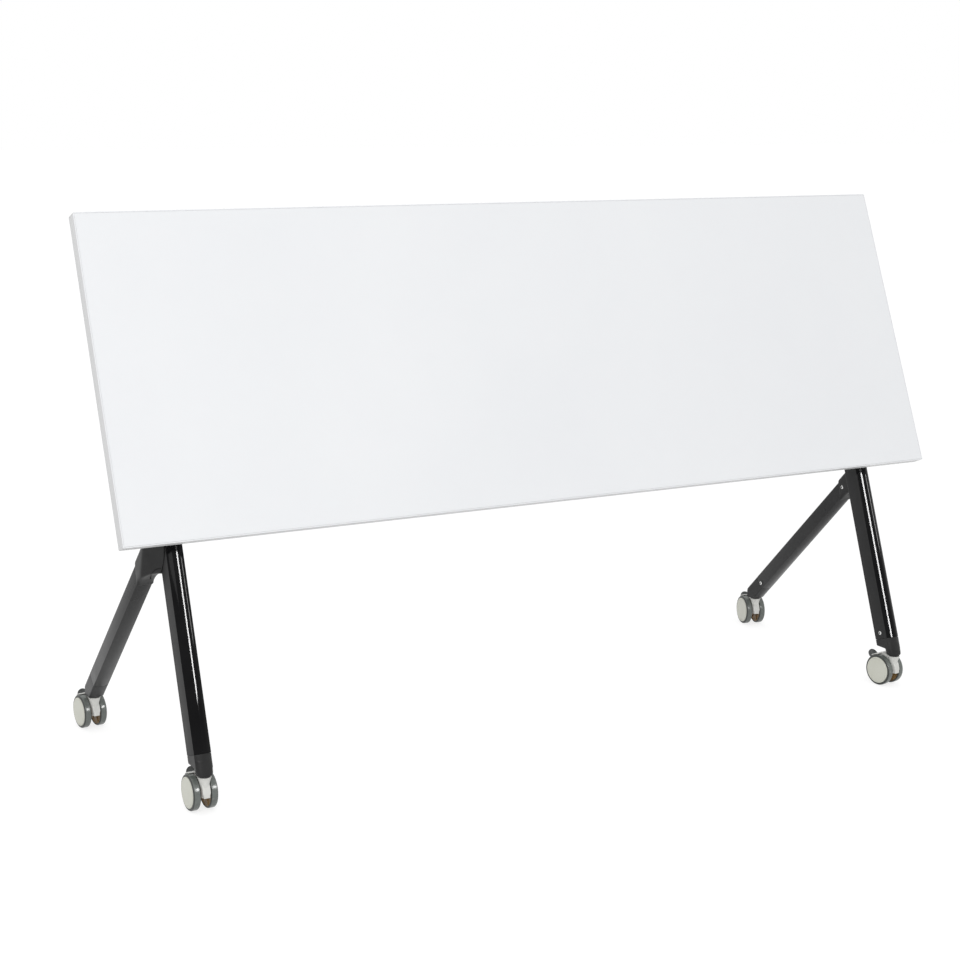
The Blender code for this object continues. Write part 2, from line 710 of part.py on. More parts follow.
def build_pawl(name, side, mat):
    # Strut on the release bar, open at rest; its notched tip meets the striker when swung
    dy = BAR_AHEAD - STRIKER_AHEAD
    dz = -STRIKER_BELOW - BAR_RISE
    heading = math.atan2(dz, dy) - PAWL_SWING
    reach = math.hypot(dy, dz)
    notch = STRIKER_RADIUS + 2 * GAP
    tip = reach - notch * math.cos(PAWL_NOTCH_ARC)
    root = math.asin(PAWL_HALF / PAWL_EYE_RADIUS)
    local = arc((0.0, 0.0), PAWL_EYE_RADIUS, root, math.tau - root, 14)
    local += [(tip, -PAWL_HALF)]
    local += arc((reach, 0.0), notch, math.pi + PAWL_NOTCH_ARC, math.pi - PAWL_NOTCH_ARC, 6)
    local += [(tip, PAWL_HALF)]
    turn = math.cos(heading), math.sin(heading)
    outline = [(turn[0] * a - turn[1] * b, turn[1] * a + turn[0] * b) for a, b in local]
    start = side * (HALF_SPACING - PAWL_NEAR)
    piece = extrude(name, outline, start, start - side * PAWL_THICK, mat)
    cut_bore(piece, (0.0, 0.0), BAR_RADIUS + GAP, start + side * PAWL_THICK, start - side * PAWL_THICK * 2)
    return piece


def build_handle(name, mat):
    # Paddle with a turned-down lip, on a sleeve round the release bar
    half = HANDLE_WIDTH / 2
    thick = HANDLE_THICK / 2
    root = math.asin(thick / HANDLE_SLEEVE_RADIUS)
    outline = arc((0.0, 0.0), HANDLE_SLEEVE_RADIUS, root - math.pi, math.pi - root, 14)
    outline += [(-HANDLE_LENGTH, thick), (-HANDLE_LENGTH - thick, 0.0)]
    outline += [(-HANDLE_LENGTH - thick, -HANDLE_LIP), (-HANDLE_LENGTH + thick, -HANDLE_LIP)]
    outline += [(-HANDLE_LENGTH + thick, -thick)]
    handle = extrude(name, outline, -half, half, mat)
    cut_bore(handle, (0.0, 0.0), BAR_RADIUS + GAP, -half * 2, half * 2)
    return handle


def build_stem(name, mat):
    # Steel stem with the dark ring between foot and housing; local z = 0 is the floor
    ring_top = FOOT_Z - GAP
    ring_low = ring_top - STEM_FLANGE_THICK
    top = FOOT_Z + STEM_SEAT - GAP
    low = ring_low - STEM_DROP + GAP
    profile = [(0.0, low), (STEM_RADIUS, low), (STEM_RADIUS, ring_low), (STEM_FLANGE_RADIUS, ring_low)]
    profile += [(STEM_FLANGE_RADIUS, ring_top), (STEM_RADIUS, ring_top), (STEM_RADIUS, top), (0.0, top)]
    return turned(name, profile, mat, "z", SMALL_FACETS)


def housing_top():
    return FOOT_Z - 2 * GAP - STEM_FLANGE_THICK


def pedal_pivot():
    # Pedal eye, as (y, z) in the caster's axes
    y = CASTER_TRAIL + PEDAL_PIVOT_RADIUS * math.cos(PEDAL_ANGLE)
    z = WHEEL_RADIUS + PEDAL_PIVOT_RADIUS * math.sin(PEDAL_ANGLE)
    return (y, z)


def build_housing(name, mat):
    # Tapered neck under the stem, and a hood between the wheels that carries axle and pedal
    axle = (CASTER_TRAIL, WHEEL_RADIUS)
    top = housing_top()
    rings = []
    steps = 5
    for i in range(steps + 1):
        t = i / steps
        flare = (HOUSING_TOP_RADIUS - HOUSING_NECK_RADIUS) * t ** HOUSING_NECK_FLARE
        radius = HOUSING_NECK_RADIUS + flare
        z = HOUSING_NECK_Z + (top - HOUSING_NECK_Z) * t
        rings.append([(px, py, z) for px, py in circle((0.0, 0.0), radius, NECK_FACETS)])
    housing = loft(name, rings, mat)
    outline = arc(axle, HOUSING_HOOD_RADIUS, HOOD_REAR_ANGLE, HOOD_FRONT_ANGLE, 12)
    outline += arc(axle, HOUSING_HUB_RADIUS, HOUSING_HUB_START, HOUSING_HUB_END, 8)
    seat = PEDAL_EYE_RADIUS + GAP
    outline += arc(pedal_pivot(), seat, PEDAL_TILT + PEDAL_SEAT_START, PEDAL_TILT + PEDAL_SEAT_END, 6)
    hood = extrude("hood", outline, -HOUSING_WEB_HALF, HOUSING_WEB_HALF, None, HOUSING_EDGE)
    combine(housing, hood, "UNION")
    cut_bore(housing, axle, AXLE_RADIUS + GAP, -WHEEL_GAP_HALF, WHEEL_GAP_HALF)
    seat_low = top - STEM_DROP
    seat_rings = []
    for z in (seat_low, top + STEM_DROP):
        ring = circle((0.0, 0.0), STEM_RADIUS + GAP, SMALL_FACETS)
        seat_rings.append([(px, py, z) for px, py in ring])
    combine(housing, loft("stem_seat", seat_rings, None), "DIFFERENCE")
    return housing


def build_axle(name, mat):
    half = WHEEL_GAP_HALF + WHEEL_WIDTH - COVER_SEAT - GAP
    profile = [(0.0, -half), (AXLE_RADIUS, -half), (AXLE_RADIUS, half), (0.0, half)]
    return turned(name, profile, mat, "x", SMALL_FACETS)


def build_wheel(name, hand, mat):
    # Tyre on its core, turned about x; hand is the side of the caster it runs on
    inner = WHEEL_GAP_HALF
    outer = WHEEL_GAP_HALF + WHEEL_WIDTH
    bore = AXLE_RADIUS + GAP
    rim = COVER_RADIUS + GAP
    hub_face = HOUSING_WEB_HALF + GAP
    shoulder = WHEEL_SHOULDER
    profile = [(bore, hub_face), (HUB_RADIUS, hub_face), (HUB_RADIUS, inner), (WHEEL_RADIUS - shoulder, inner)]
    profile += [(WHEEL_RADIUS, inner + shoulder), (WHEEL_RADIUS, outer - shoulder)]
    profile += [(WHEEL_RADIUS - shoulder, outer), (rim, outer), (rim, outer - COVER_SEAT)]
    profile += [(bore, outer - COVER_SEAT)]
    return turned(name, [(r, hand * x) for r, x in profile], mat, "x", FACETS, closed=True)


def build_cover(name, hand, mat):
    # Flush hub cover with a low crown
    seat = WHEEL_GAP_HALF + WHEEL_WIDTH - COVER_SEAT + GAP
    face = WHEEL_GAP_HALF + WHEEL_WIDTH + COVER_PROUD
    profile = [(0.0, seat), (COVER_RADIUS, seat), (COVER_RADIUS, face - COVER_PROUD)]
    profile += [(COVER_RADIUS - COVER_PROUD, face), (0.0, face + COVER_CROWN)]
    return turned(name, [(r, hand * x) for r, x in profile], mat, "x", FACETS)


def build_pedal(name, mat):
    # Brake pedal: eye between the wheels, and a round pad that rises behind them
    neck = PEDAL_NECK_HALF
    turn = math.asin(math.sqrt(1 - (neck / PEDAL_PAD_RADIUS) ** 2))
    plan = [(-neck, 0.0), (neck, 0.0)]
    plan += arc((0.0, PEDAL_REACH), PEDAL_PAD_RADIUS, -turn, math.pi + turn, 16)
    lean = PEDAL_TILT
    rings = []
    levels = ((-0.5, PEDAL_EDGE), (-0.5 + PEDAL_EDGE / PEDAL_THICK, 0.0))
    levels += ((0.5 - PEDAL_EDGE / PEDAL_THICK, 0.0), (0.5, PEDAL_EDGE))
    for share, inset in levels:
        shrink = 1 - inset / PEDAL_PAD_RADIUS
        rise = PEDAL_THICK * share
        ring = []
        for x, t in plan:
            along = PEDAL_REACH + (t - PEDAL_REACH) * shrink
            ring.append((x * shrink, along * math.cos(lean) - rise * math.sin(lean),
                         along * math.sin(lean) + rise * math.cos(lean)))
        rings.append(ring)
    pedal = loft(name, rings, mat)
    eye = extrude("eye", circle((0.0, 0.0), PEDAL_EYE_RADIUS, SMALL_FACETS), -neck, neck, None)
    combine(pedal, eye, "UNION")
    return pedal


def build_caster(label, x, y, root, mats):
    swivel = empty(label + "_swivel", root, (x, y, 0.0), (0.0, 0.0, CASTER_YAW[label]))
    place(build_stem(label + "_caster_stem", mats["steel"]), swivel)
    place(build_housing(label + "_caster_housing", mats["housing"]), swivel)
    axle = empty(label + "_axle_line", swivel, (0.0, CASTER_TRAIL, WHEEL_RADIUS))
    place(build_axle(label + "_caster_axle", mats["steel"]), axle)
    for hand_name, hand in SIDES.items():
        place(build_wheel(label + "_wheel_" + hand_name, hand, mats["tyre"]), axle)
        place(build_cover(label + "_hub_cover_" + hand_name, hand, mats["cover"]), axle)
    pivot = pedal_pivot()
    place(build_pedal(label + "_brake_pedal", mats["pedal"]), swivel, (0.0, *pivot))


def build_leg_frame(label, side, root, mats):
    x = side * HALF_SPACING
    rear_x = side * (HALF_SPACING + REAR_OUTSET)
    front = hollow_leg(label + "_front_leg", front_section, FRONT_FOOT_LENGTH, HEAD_SPLIT, mats["leg"])
    place(front, root, (x, FRONT_LEG.y, FRONT_LEG.z), FRONT_LEG.turn)
    outline, corner, split = knuckle_outline()
    rear_end = REAR_LEG.up_to(step_along(corner, (1.0, 0.0), GAP), split)
    rear = hollow_leg(label + "_rear_leg", rear_section, REAR_FOOT_LENGTH, rear_end, mats["leg"])
    place(rear, root, (rear_x, REAR_LEG.y, REAR_LEG.z), REAR_LEG.turn)
    place(build_knuckle(label + "_knuckle", side, mats["casting"]), root, (x, 0.0, 0.0))
    place(build_front_foot(label + "_front_foot", side, mats["casting"]), root)
    place(build_rear_foot(label + "_rear_foot", side, mats["casting"]), root)
    place(build_leg_head(label + "_leg_head", side, mats["casting"]), root)
    place(build_hinge_pin(label + "_hinge_pin", side, mats["steel"]), root, (x, HINGE_Y, HINGE_Z))
    place(build_striker(label + "_striker", side, mats["steel"]), root, (x, *striker_place()))


def build_top(root, mats):
    hinge = empty("top_hinge", root, (0.0, HINGE_Y, HINGE_Z), (FOLD_ANGLE, 0.0, 0.0))
    place(build_tabletop("tabletop", mats["laminate"]), hinge)
    place(build_edge_band("edge_band", mats["band"]), hinge)
    latch = empty("latch_line", hinge, (0.0, -BAR_AHEAD, BAR_RISE))
    for label, side in SIDES.items():
        place(build_bracket(label + "_top_bracket", side, mats["steel_black"]), hinge)
        place(build_pawl(label + "_pawl", side, mats["steel"]), latch)
        saddle = build_saddle(label + "_bar_saddle", side * SADDLE_OFFSET, mats["housing_black"])
        place(saddle, latch)
    place(build_release_bar("release_bar", mats["steel"]), latch)
    place(build_handle("release_handle", mats["housing_black"]), latch)


def main():
    clear_scene()
    mats = {
        "laminate": make_material("white_laminate", (0.86, 0.87, 0.89), 0.45, 0.0),
        "band": make_material("edge_band_grey", (0.66, 0.66, 0.66), 0.5, 0.0),
        "leg": make_material("gloss_black", (0.012, 0.012, 0.013), 0.16, 0.0),
        "casting": make_material("satin_black", (0.025, 0.025, 0.025), 0.42, 0.0),
        "steel": make_material("zinc_steel", (0.55, 0.55, 0.54), 0.3, 1.0),
        "steel_black": make_material("black_steel", (0.02, 0.02, 0.02), 0.4, 0.0),
        "housing": make_material("off_white_plastic", (0.68, 0.68, 0.65), 0.4, 0.0),
        "housing_black": make_material("black_plastic", (0.02, 0.02, 0.021), 0.45, 0.0),
        "tyre": make_material("grey_tread", (0.14, 0.15, 0.145), 0.55, 0.0),
        "cover": make_material("warm_grey_plastic", (0.6, 0.6, 0.55), 0.4, 0.0),
        "pedal": make_material("grey_plastic", (0.12, 0.125, 0.125), 0.45, 0.0),
    }
    root = empty("table", None, (0.0, 0.0, 0.0))
    for label, side in SIDES.items():
        build_leg_frame(label, side, root, mats)
        build_caster("front_" + label, side * HALF_SPACING, FRONT_STEM_Y, root, mats)
        build_caster("rear_" + label, side * (HALF_SPACING + REAR_OUTSET), REAR_STEM_Y, root, mats)
    place(build_crossbeam("crossbeam", mats["steel_black"]), root)
    build_top(root, mats)


main()
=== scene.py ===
import json
import math
import bpy
from mathutils import Matrix, Vector
from mathutils.bvhtree import BVHTree


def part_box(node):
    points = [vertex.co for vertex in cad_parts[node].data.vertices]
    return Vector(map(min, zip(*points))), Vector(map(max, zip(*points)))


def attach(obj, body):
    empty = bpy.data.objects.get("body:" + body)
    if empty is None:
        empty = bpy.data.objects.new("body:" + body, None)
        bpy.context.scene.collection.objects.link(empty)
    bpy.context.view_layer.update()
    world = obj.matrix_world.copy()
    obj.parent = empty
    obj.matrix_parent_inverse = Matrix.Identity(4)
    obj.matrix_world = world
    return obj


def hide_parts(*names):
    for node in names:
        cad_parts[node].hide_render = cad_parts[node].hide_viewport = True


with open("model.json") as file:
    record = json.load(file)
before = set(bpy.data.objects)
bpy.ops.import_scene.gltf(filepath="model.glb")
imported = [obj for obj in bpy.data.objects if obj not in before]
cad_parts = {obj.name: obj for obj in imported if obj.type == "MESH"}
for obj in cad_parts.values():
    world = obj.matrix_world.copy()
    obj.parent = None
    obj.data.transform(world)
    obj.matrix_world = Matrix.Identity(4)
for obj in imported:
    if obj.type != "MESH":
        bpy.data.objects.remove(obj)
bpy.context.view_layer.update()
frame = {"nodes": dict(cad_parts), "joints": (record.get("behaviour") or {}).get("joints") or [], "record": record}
nodes = frame["nodes"]
bodyOf = {n: body for body, members in frame["record"]["behaviour"]["bodies"].items() for n in members}
jointOf = {j["name"]: j for j in frame["joints"]}
sideSign = {"left": -1.0, "right": 1.0}
casterNames = ["front_left", "front_right", "rear_left", "rear_right"]
glossPieces = {"legs": [], "rightLeg": [], "treads": []}
print("frame loaded,", len(nodes), "nodes")


# picking and finishing helpers
def dropPick():
    if bpy.context.mode != "OBJECT":
        bpy.ops.object.mode_set(mode="OBJECT")
    bpy.ops.object.select_all(action="DESELECT")


def pick(obj):
    dropPick()
    obj.select_set(True)
    bpy.context.view_layer.objects.active = obj


def editAll(obj):
    pick(obj)
    bpy.ops.object.mode_set(mode="EDIT")
    bpy.ops.mesh.select_mode(type="VERT")
    bpy.ops.mesh.select_all(action="SELECT")


def faceOut():  # merge doubles, then turn every face outwards
    bpy.ops.mesh.select_all(action="SELECT")
    bpy.ops.mesh.remove_doubles(threshold=1e-6)
    bpy.ops.mesh.normals_make_consistent(inside=False)


def pickFaces(obj, test):  # faces chosen by centre and normal
    pick(obj)
    bpy.ops.object.mode_set(mode="EDIT")
    bpy.ops.mesh.select_mode(type="FACE")
    bpy.ops.mesh.select_all(action="DESELECT")
    bpy.ops.object.mode_set(mode="OBJECT")
    for face in obj.data.polygons:
        face.select = bool(test(face.center, face.normal))
    bpy.ops.object.mode_set(mode="EDIT")


def applyMod(obj, kind, **settings):
    pick(obj)
    mod = obj.modifiers.new(kind.lower(), kind)
    for key, value in settings.items():
        setattr(mod, key, value)
    bpy.ops.object.modifier_apply(modifier=mod.name)


def roundEdges(obj, width, segments=3, angle=30.0):
    applyMod(obj, "BEVEL", width=width, segments=segments, limit_method="ANGLE",
             angle_limit=math.radians(angle), use_clamp_overlap=True)


def smoothBy(obj, angle=35.0):
    pick(obj)
    bpy.ops.object.shade_smooth_by_angle(angle=math.radians(angle))


def bake(obj, matrix=None):  # put the place into the mesh
    pick(obj)
    if matrix is not None:
        obj.matrix_world = matrix
    bpy.ops.object.transform_apply(location=True, rotation=True, scale=True)
    return obj


# drawing helpers: a line of points, spun round an axis or drawn out along it
def drawLine(name, points, closed=True):
    dropPick()
    bpy.ops.mesh.primitive_plane_add(size=0.001)
    obj = bpy.context.object
    obj.name = name
    obj.data.name = name
    bpy.ops.object.mode_set(mode="EDIT")
    bpy.ops.mesh.select_mode(type="VERT")
    bpy.ops.mesh.select_all(action="SELECT")
    bpy.ops.mesh.merge(type="CENTER")
    path = [Vector(p) for p in points]
    if closed:
        path.append(path[0].copy())
    bpy.ops.transform.translate(value=path[0])
    for start, end in zip(path, path[1:]):
        bpy.ops.mesh.extrude_vertices_move(TRANSFORM_OT_translate={"value": end - start})
    bpy.ops.mesh.select_all(action="SELECT")
    bpy.ops.mesh.remove_doubles(threshold=1e-6)
    bpy.ops.object.mode_set(mode="OBJECT")
    return obj


def spinRound(name, points, axis, steps, closed=True):
    obj = drawLine(name, points, closed)
    editAll(obj)
    bpy.ops.mesh.spin(steps=steps, angle=math.tau, center=(0, 0, 0), axis=axis)
    faceOut()
    bpy.ops.object.mode_set(mode="OBJECT")
    return obj


def spinAboutX(name, profile, steps=64, closed=True):  # (radius, x) pairs
    return spinRound(name, [(x, 0, r) for r, x in profile], (1, 0, 0), steps, closed)


def spinAboutZ(name, profile, steps=48, closed=True):  # (radius, z) pairs
    return spinRound(name, [(r, 0, z) for r, z in profile], (0, 0, 1), steps, closed)


def drawOut(name, points, along, filled=True):  # unfilled, it is an open tube
    obj = drawLine(name, points)
    editAll(obj)
    if filled:
        bpy.ops.mesh.edge_face_add()
    bpy.ops.mesh.extrude_region_move(TRANSFORM_OT_translate={"value": along})
    faceOut()
    bpy.ops.object.mode_set(mode="OBJECT")
    return obj


def thicken(obj, wall):  # inwards from the drawn face
    applyMod(obj, "SOLIDIFY", thickness=wall, offset=-1.0, use_even_offset=True)


def join(target, tool, operation="UNION"):
    applyMod(target, "BOOLEAN", object=tool, operation=operation, solver="EXACT")
    bpy.data.objects.remove(tool, do_unlink=True)


def arcPoints(centre, radius, start, end, steps):
    points = []
    for i in range(steps + 1):
        a = math.radians(start + (end - start) * i / steps)
        points.append((centre[0] + radius * math.cos(a), centre[1] + radius * math.sin(a)))
    return points


def ringPoints(radius, steps):  # a full turn, its last point one step short of the first
    return arcPoints((0.0, 0.0), radius, 0.0, 360.0 - 360.0 / steps, steps - 1)


def softBox(centre, size, corner, steps, inset=0.0):  # a rectangle with round corners
    points = []
    for i, (a, b) in enumerate(((1, 1), (-1, 1), (-1, -1), (1, -1))):
        spot = (centre[0] + a * (size[0] / 2 - corner), centre[1] + b * (size[1] / 2 - corner))
        points += arcPoints(spot, corner - inset, i * 90, (i + 1) * 90, steps)
    return points


def barShape(name, radius, ease, start, end):  # a turned bar along x with eased ends
    profile = [(0.0, start), (radius - ease, start), (radius, start + ease)]
    profile += [(radius, end - ease), (radius - ease, end), (0.0, end)]
    return spinAboutX(name, profile, steps=32, closed=False)


def copyTo(source, name, matrix):
    obj = bpy.data.objects.new(name, source.data.copy())
    obj.data.name = name
    bpy.context.scene.collection.objects.link(obj)
    bake(obj, matrix)
    if matrix.determinant() < 0:
        editAll(obj)
        bpy.ops.mesh.normals_make_consistent(inside=False)
        bpy.ops.object.mode_set(mode="OBJECT")
    return obj


def copyNode(node, name):  # a loose copy of a CAD node, merged
    obj = bpy.data.objects.new(name, nodes[node].data.copy())
    obj.data.name = name
    obj.data.materials.clear()
    bpy.context.scene.collection.objects.link(obj)
    editAll(obj)
    bpy.ops.mesh.customdata_custom_splitnormals_clear()
    bpy.ops.mesh.remove_doubles(threshold=1e-5)
    bpy.ops.object.mode_set(mode="OBJECT")
    return obj


def wear(obj, *materials):
    obj.data.materials.clear()
    for mat in materials:
        obj.data.materials.append(mat)


def seat(obj, node, stands=True):
    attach(obj, bodyOf[node])
    if stands:
        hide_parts(node)
    return obj


def dress(obj, mat, angle=35.0):
    smoothBy(obj, angle)
    wear(obj, mats[mat])
    return obj


def place(source, name, matrix, node, stands=True):  # a dressed shape, copied to its spot
    return seat(copyTo(source, name, matrix), node, stands)


# shared surface effects
def newGroup(name, inputs, outputs):
    group = bpy.data.node_groups.new(name, "ShaderNodeTree")
    for label, value in inputs.items():
        kind = "NodeSocketVector" if isinstance(value, tuple) else "NodeSocketFloat"
        group.interface.new_socket(name=label, in_out="INPUT", socket_type=kind).default_value = value
    for label in outputs:
        group.interface.new_socket(name=label, in_out="OUTPUT", socket_type="NodeSocketFloat")
    return group, group.nodes.new("NodeGroupInput"), group.nodes.new("NodeGroupOutput")


def makeGrain():  # fine moulded or sprayed grain, and broad uneven patches
    values = {"Grain Scale": 900.0, "Patch Scale": 9.0}
    group, gin, gout = newGroup("surfaceGrain", values, ["Grain", "Patch"])
    coord = group.nodes.new("ShaderNodeTexCoord")
    fine = group.nodes.new("ShaderNodeTexNoise")
    fine.inputs["Detail"].default_value = 2.0
    broad = group.nodes.new("ShaderNodeTexNoise")
    broad.inputs["Detail"].default_value = 4.0
    broad.inputs["Roughness"].default_value = 0.6
    for tex, scale in ((fine, "Grain Scale"), (broad, "Patch Scale")):
        group.links.new(coord.outputs["Object"], tex.inputs["Vector"])
        group.links.new(gin.outputs[scale], tex.inputs["Scale"])
    group.links.new(fine.outputs["Fac"], gout.inputs["Grain"])
    group.links.new(broad.outputs["Fac"], gout.inputs["Patch"])
    return group


def makeStreaks():  # faint drawn lines along an extruded or rolled piece
    values = {"Turn": (0.0, 0.0, 0.0), "Lines": 700.0, "Run": 3.0}
    group, gin, gout = newGroup("drawnStreaks", values, ["Streak"])
    coord = group.nodes.new("ShaderNodeTexCoord")
    turn = group.nodes.new("ShaderNodeMapping")
    stretch = group.nodes.new("ShaderNodeCombineXYZ")
    scaled = group.nodes.new("ShaderNodeVectorMath")
    scaled.operation = "MULTIPLY"
    lines = group.nodes.new("ShaderNodeTexNoise")
    lines.inputs["Scale"].default_value = 1.0
    lines.inputs["Detail"].default_value = 3.0
    group.links.new(coord.outputs["Object"], turn.inputs["Vector"])
    group.links.new(gin.outputs["Turn"], turn.inputs["Rotation"])
    group.links.new(gin.outputs["Lines"], stretch.inputs["X"])
    group.links.new(gin.outputs["Lines"], stretch.inputs["Y"])
    group.links.new(gin.outputs["Run"], stretch.inputs["Z"])
    group.links.new(turn.outputs["Vector"], scaled.inputs[0])
    group.links.new(stretch.outputs["Vector"], scaled.inputs[1])
    group.links.new(scaled.outputs["Vector"], lines.inputs["Vector"])
    group.links.new(lines.outputs["Fac"], gout.inputs["Streak"])
    return group


def makeScuffs():  # sparse rubbed spots
    group, gin, gout = newGroup("rubbedSpots", {"Spot Scale": 60.0, "Amount": 0.35}, ["Spots"])
    coord = group.nodes.new("ShaderNodeTexCoord")
    cells = group.nodes.new("ShaderNodeTexVoronoi")
    cells.feature = "SMOOTH_F1"
    torn = group.nodes.new("ShaderNodeTexNoise")
    torn.inputs["Detail"].default_value = 5.0
    both = group.nodes.new("ShaderNodeMath")
    both.operation = "MULTIPLY"
    limit = group.nodes.new("ShaderNodeMapRange")
    for tex in (cells, torn):
        group.links.new(coord.outputs["Object"], tex.inputs["Vector"])
        group.links.new(gin.outputs["Spot Scale"], tex.inputs["Scale"])
    group.links.new(cells.outputs["Distance"], both.inputs[0])
    group.links.new(torn.outputs["Fac"], both.inputs[1])
    group.links.new(both.outputs["Value"], limit.inputs["Value"])
    group.links.new(gin.outputs["Amount"], limit.inputs["From Min"])
    limit.inputs["From Max"].default_value = 0.6
    group.links.new(limit.outputs["Result"], gout.inputs["Spots"])
    return group


grainGroup = makeGrain()
streakGroup = makeStreaks()
scuffGroup = makeScuffs()

# every finish: two tones, roughness span, grain scale and depth in metres, and what else it has
finishes = {
    "laminate": {"tones": ((0.845, 0.858, 0.878), (0.872, 0.884, 0.900)), "rough": (0.40, 0.50),
                 "grain": (1400, 0.00003), "patch": 2.2, "specular": 0.35},
    # the band's sides: the board's white darkened as painted shade, for sides turned away from the light
    "shadedBand": {"tones": ((0.66, 0.665, 0.67), (0.72, 0.725, 0.73)), "rough": (0.38, 0.50),
                 "grain": (1600, 0.00004), "patch": 6.0, "specular": 0.4},
    "glossBlack": {"tones": ((0.004, 0.004, 0.0045), (0.008, 0.008, 0.0085)), "rough": (0.045, 0.080),
                   "grain": (600, 0.000003), "patch": 14.0, "specular": 0.06},
    # the front legs' flat sides: the same black coat painted lighter, a painted reflection of their grazing sheen
    "sideSheenBlack": {"tones": ((0.020, 0.020, 0.0205), (0.027, 0.027, 0.0275)), "rough": (0.40, 0.50),
                  "grain": (600, 0.000012), "patch": 14.0, "specular": 0.14},
    # rear legs and rear feet: the same black coat painted a lighter grey, a painted reflection of what their faces
    # catch
    "rearSheenBlack": {"tones": ((0.030, 0.030, 0.0305), (0.040, 0.040, 0.0405)), "rough": (0.26, 0.36),
                  "grain": (600, 0.000012), "patch": 14.0, "specular": 0.16},
    "satinBlack": {"tones": ((0.014, 0.014, 0.0145), (0.024, 0.024, 0.024)), "rough": (0.34, 0.46),
                   "grain": (1100, 0.00010), "patch": 30.0, "specular": 0.22},
    "blackSteel": {"tones": ((0.012, 0.012, 0.0125), (0.022, 0.022, 0.022)), "rough": (0.38, 0.52),
                   "grain": (900, 0.00012), "patch": 25.0, "specular": 0.45},
    "zincSteel": {"tones": ((0.50, 0.50, 0.49), (0.66, 0.66, 0.65)), "rough": (0.22, 0.38),
                  "grain": (1500, 0.00003), "patch": 60.0, "metallic": 1.0, "streak": ((0, 90, 0), 900, 4.0)},
    "screwZinc": {"tones": ((0.58, 0.58, 0.57), (0.70, 0.70, 0.69)), "rough": (0.18, 0.30),
                  "grain": (2200, 0.00002), "patch": 240.0, "metallic": 1.0},
    # dark steel for the stem, also used as painted shade inside the screws' key sockets
    "collarSteelAndShade": {"tones": ((0.018, 0.018, 0.018), (0.030, 0.030, 0.029)), "rough": (0.35, 0.5),
                   "grain": (1500, 0.00004), "patch": 90.0},
    "treadGrey": {"tones": ((0.112, 0.124, 0.115), (0.150, 0.164, 0.153)), "rough": (0.14, 0.22),
                  "grain": (2400, 0.00006), "patch": 120.0, "specular": 0.5,
                  "scuff": (150, 0.34, (0.26, 0.265, 0.25))},
    # the tyre's sides and recesses: the tread rubber darkened as painted shade
    "tyreShadeEdge": {"tones": ((0.030, 0.033, 0.031), (0.050, 0.054, 0.050)), "rough": (0.34, 0.48),
                 "grain": (2400, 0.00006), "patch": 120.0, "specular": 0.4},
    "coverGrey": {"tones": ((0.600, 0.605, 0.530), (0.640, 0.645, 0.575)), "rough": (0.32, 0.42),
                  "grain": (1800, 0.00004), "patch": 40.0, "specular": 0.4},
    "housingWhite": {"tones": ((0.66, 0.66, 0.63), (0.72, 0.72, 0.69)), "rough": (0.34, 0.46),
                     "grain": (1800, 0.00005), "patch": 45.0, "specular": 0.4},
    "coreBrown": {"tones": ((0.26, 0.155, 0.055), (0.36, 0.225, 0.085)), "rough": (0.36, 0.52),
                  "grain": (1500, 0.00008), "patch": 140.0, "specular": 0.4},
    "pedalGrey": {"tones": ((0.060, 0.064, 0.062), (0.088, 0.092, 0.090)), "rough": (0.34, 0.46),
                  "grain": (1700, 0.00008), "patch": 80.0, "specular": 0.45},
    "blackPlastic": {"tones": ((0.014, 0.014, 0.0145), (0.024, 0.024, 0.0245)), "rough": (0.40, 0.55),
                     "grain": (1300, 0.00012), "patch": 50.0, "specular": 0.45},
}


def placeGroup(tree, group, values):
    node = tree.nodes.new("ShaderNodeGroup")
    node.node_tree = group
    for label, value in values.items():
        node.inputs[label].default_value = value
    return node


def spanNode(tree, source, low, high):
    node = tree.nodes.new("ShaderNodeMapRange")
    node.inputs["From Min"].default_value = 0.3
    node.inputs["From Max"].default_value = 0.7
    node.inputs["To Min"].default_value = low
    node.inputs["To Max"].default_value = high
    tree.links.new(source, node.inputs["Value"])
    return node.outputs["Result"]


def toneNode(tree, factor, first, second):
    node = tree.nodes.new("ShaderNodeMix")
    node.data_type = "RGBA"
    tree.links.new(factor, node.inputs["Factor"])
    for label, value in (("A", first), ("B", second)):
        socket = [s for s in node.inputs if s.name == label and s.type == "RGBA"][0]
        if isinstance(value, tuple):
            socket.default_value = (*value, 1.0)
        else:
            tree.links.new(value, socket)
    return [s for s in node.outputs if s.type == "RGBA"][0]


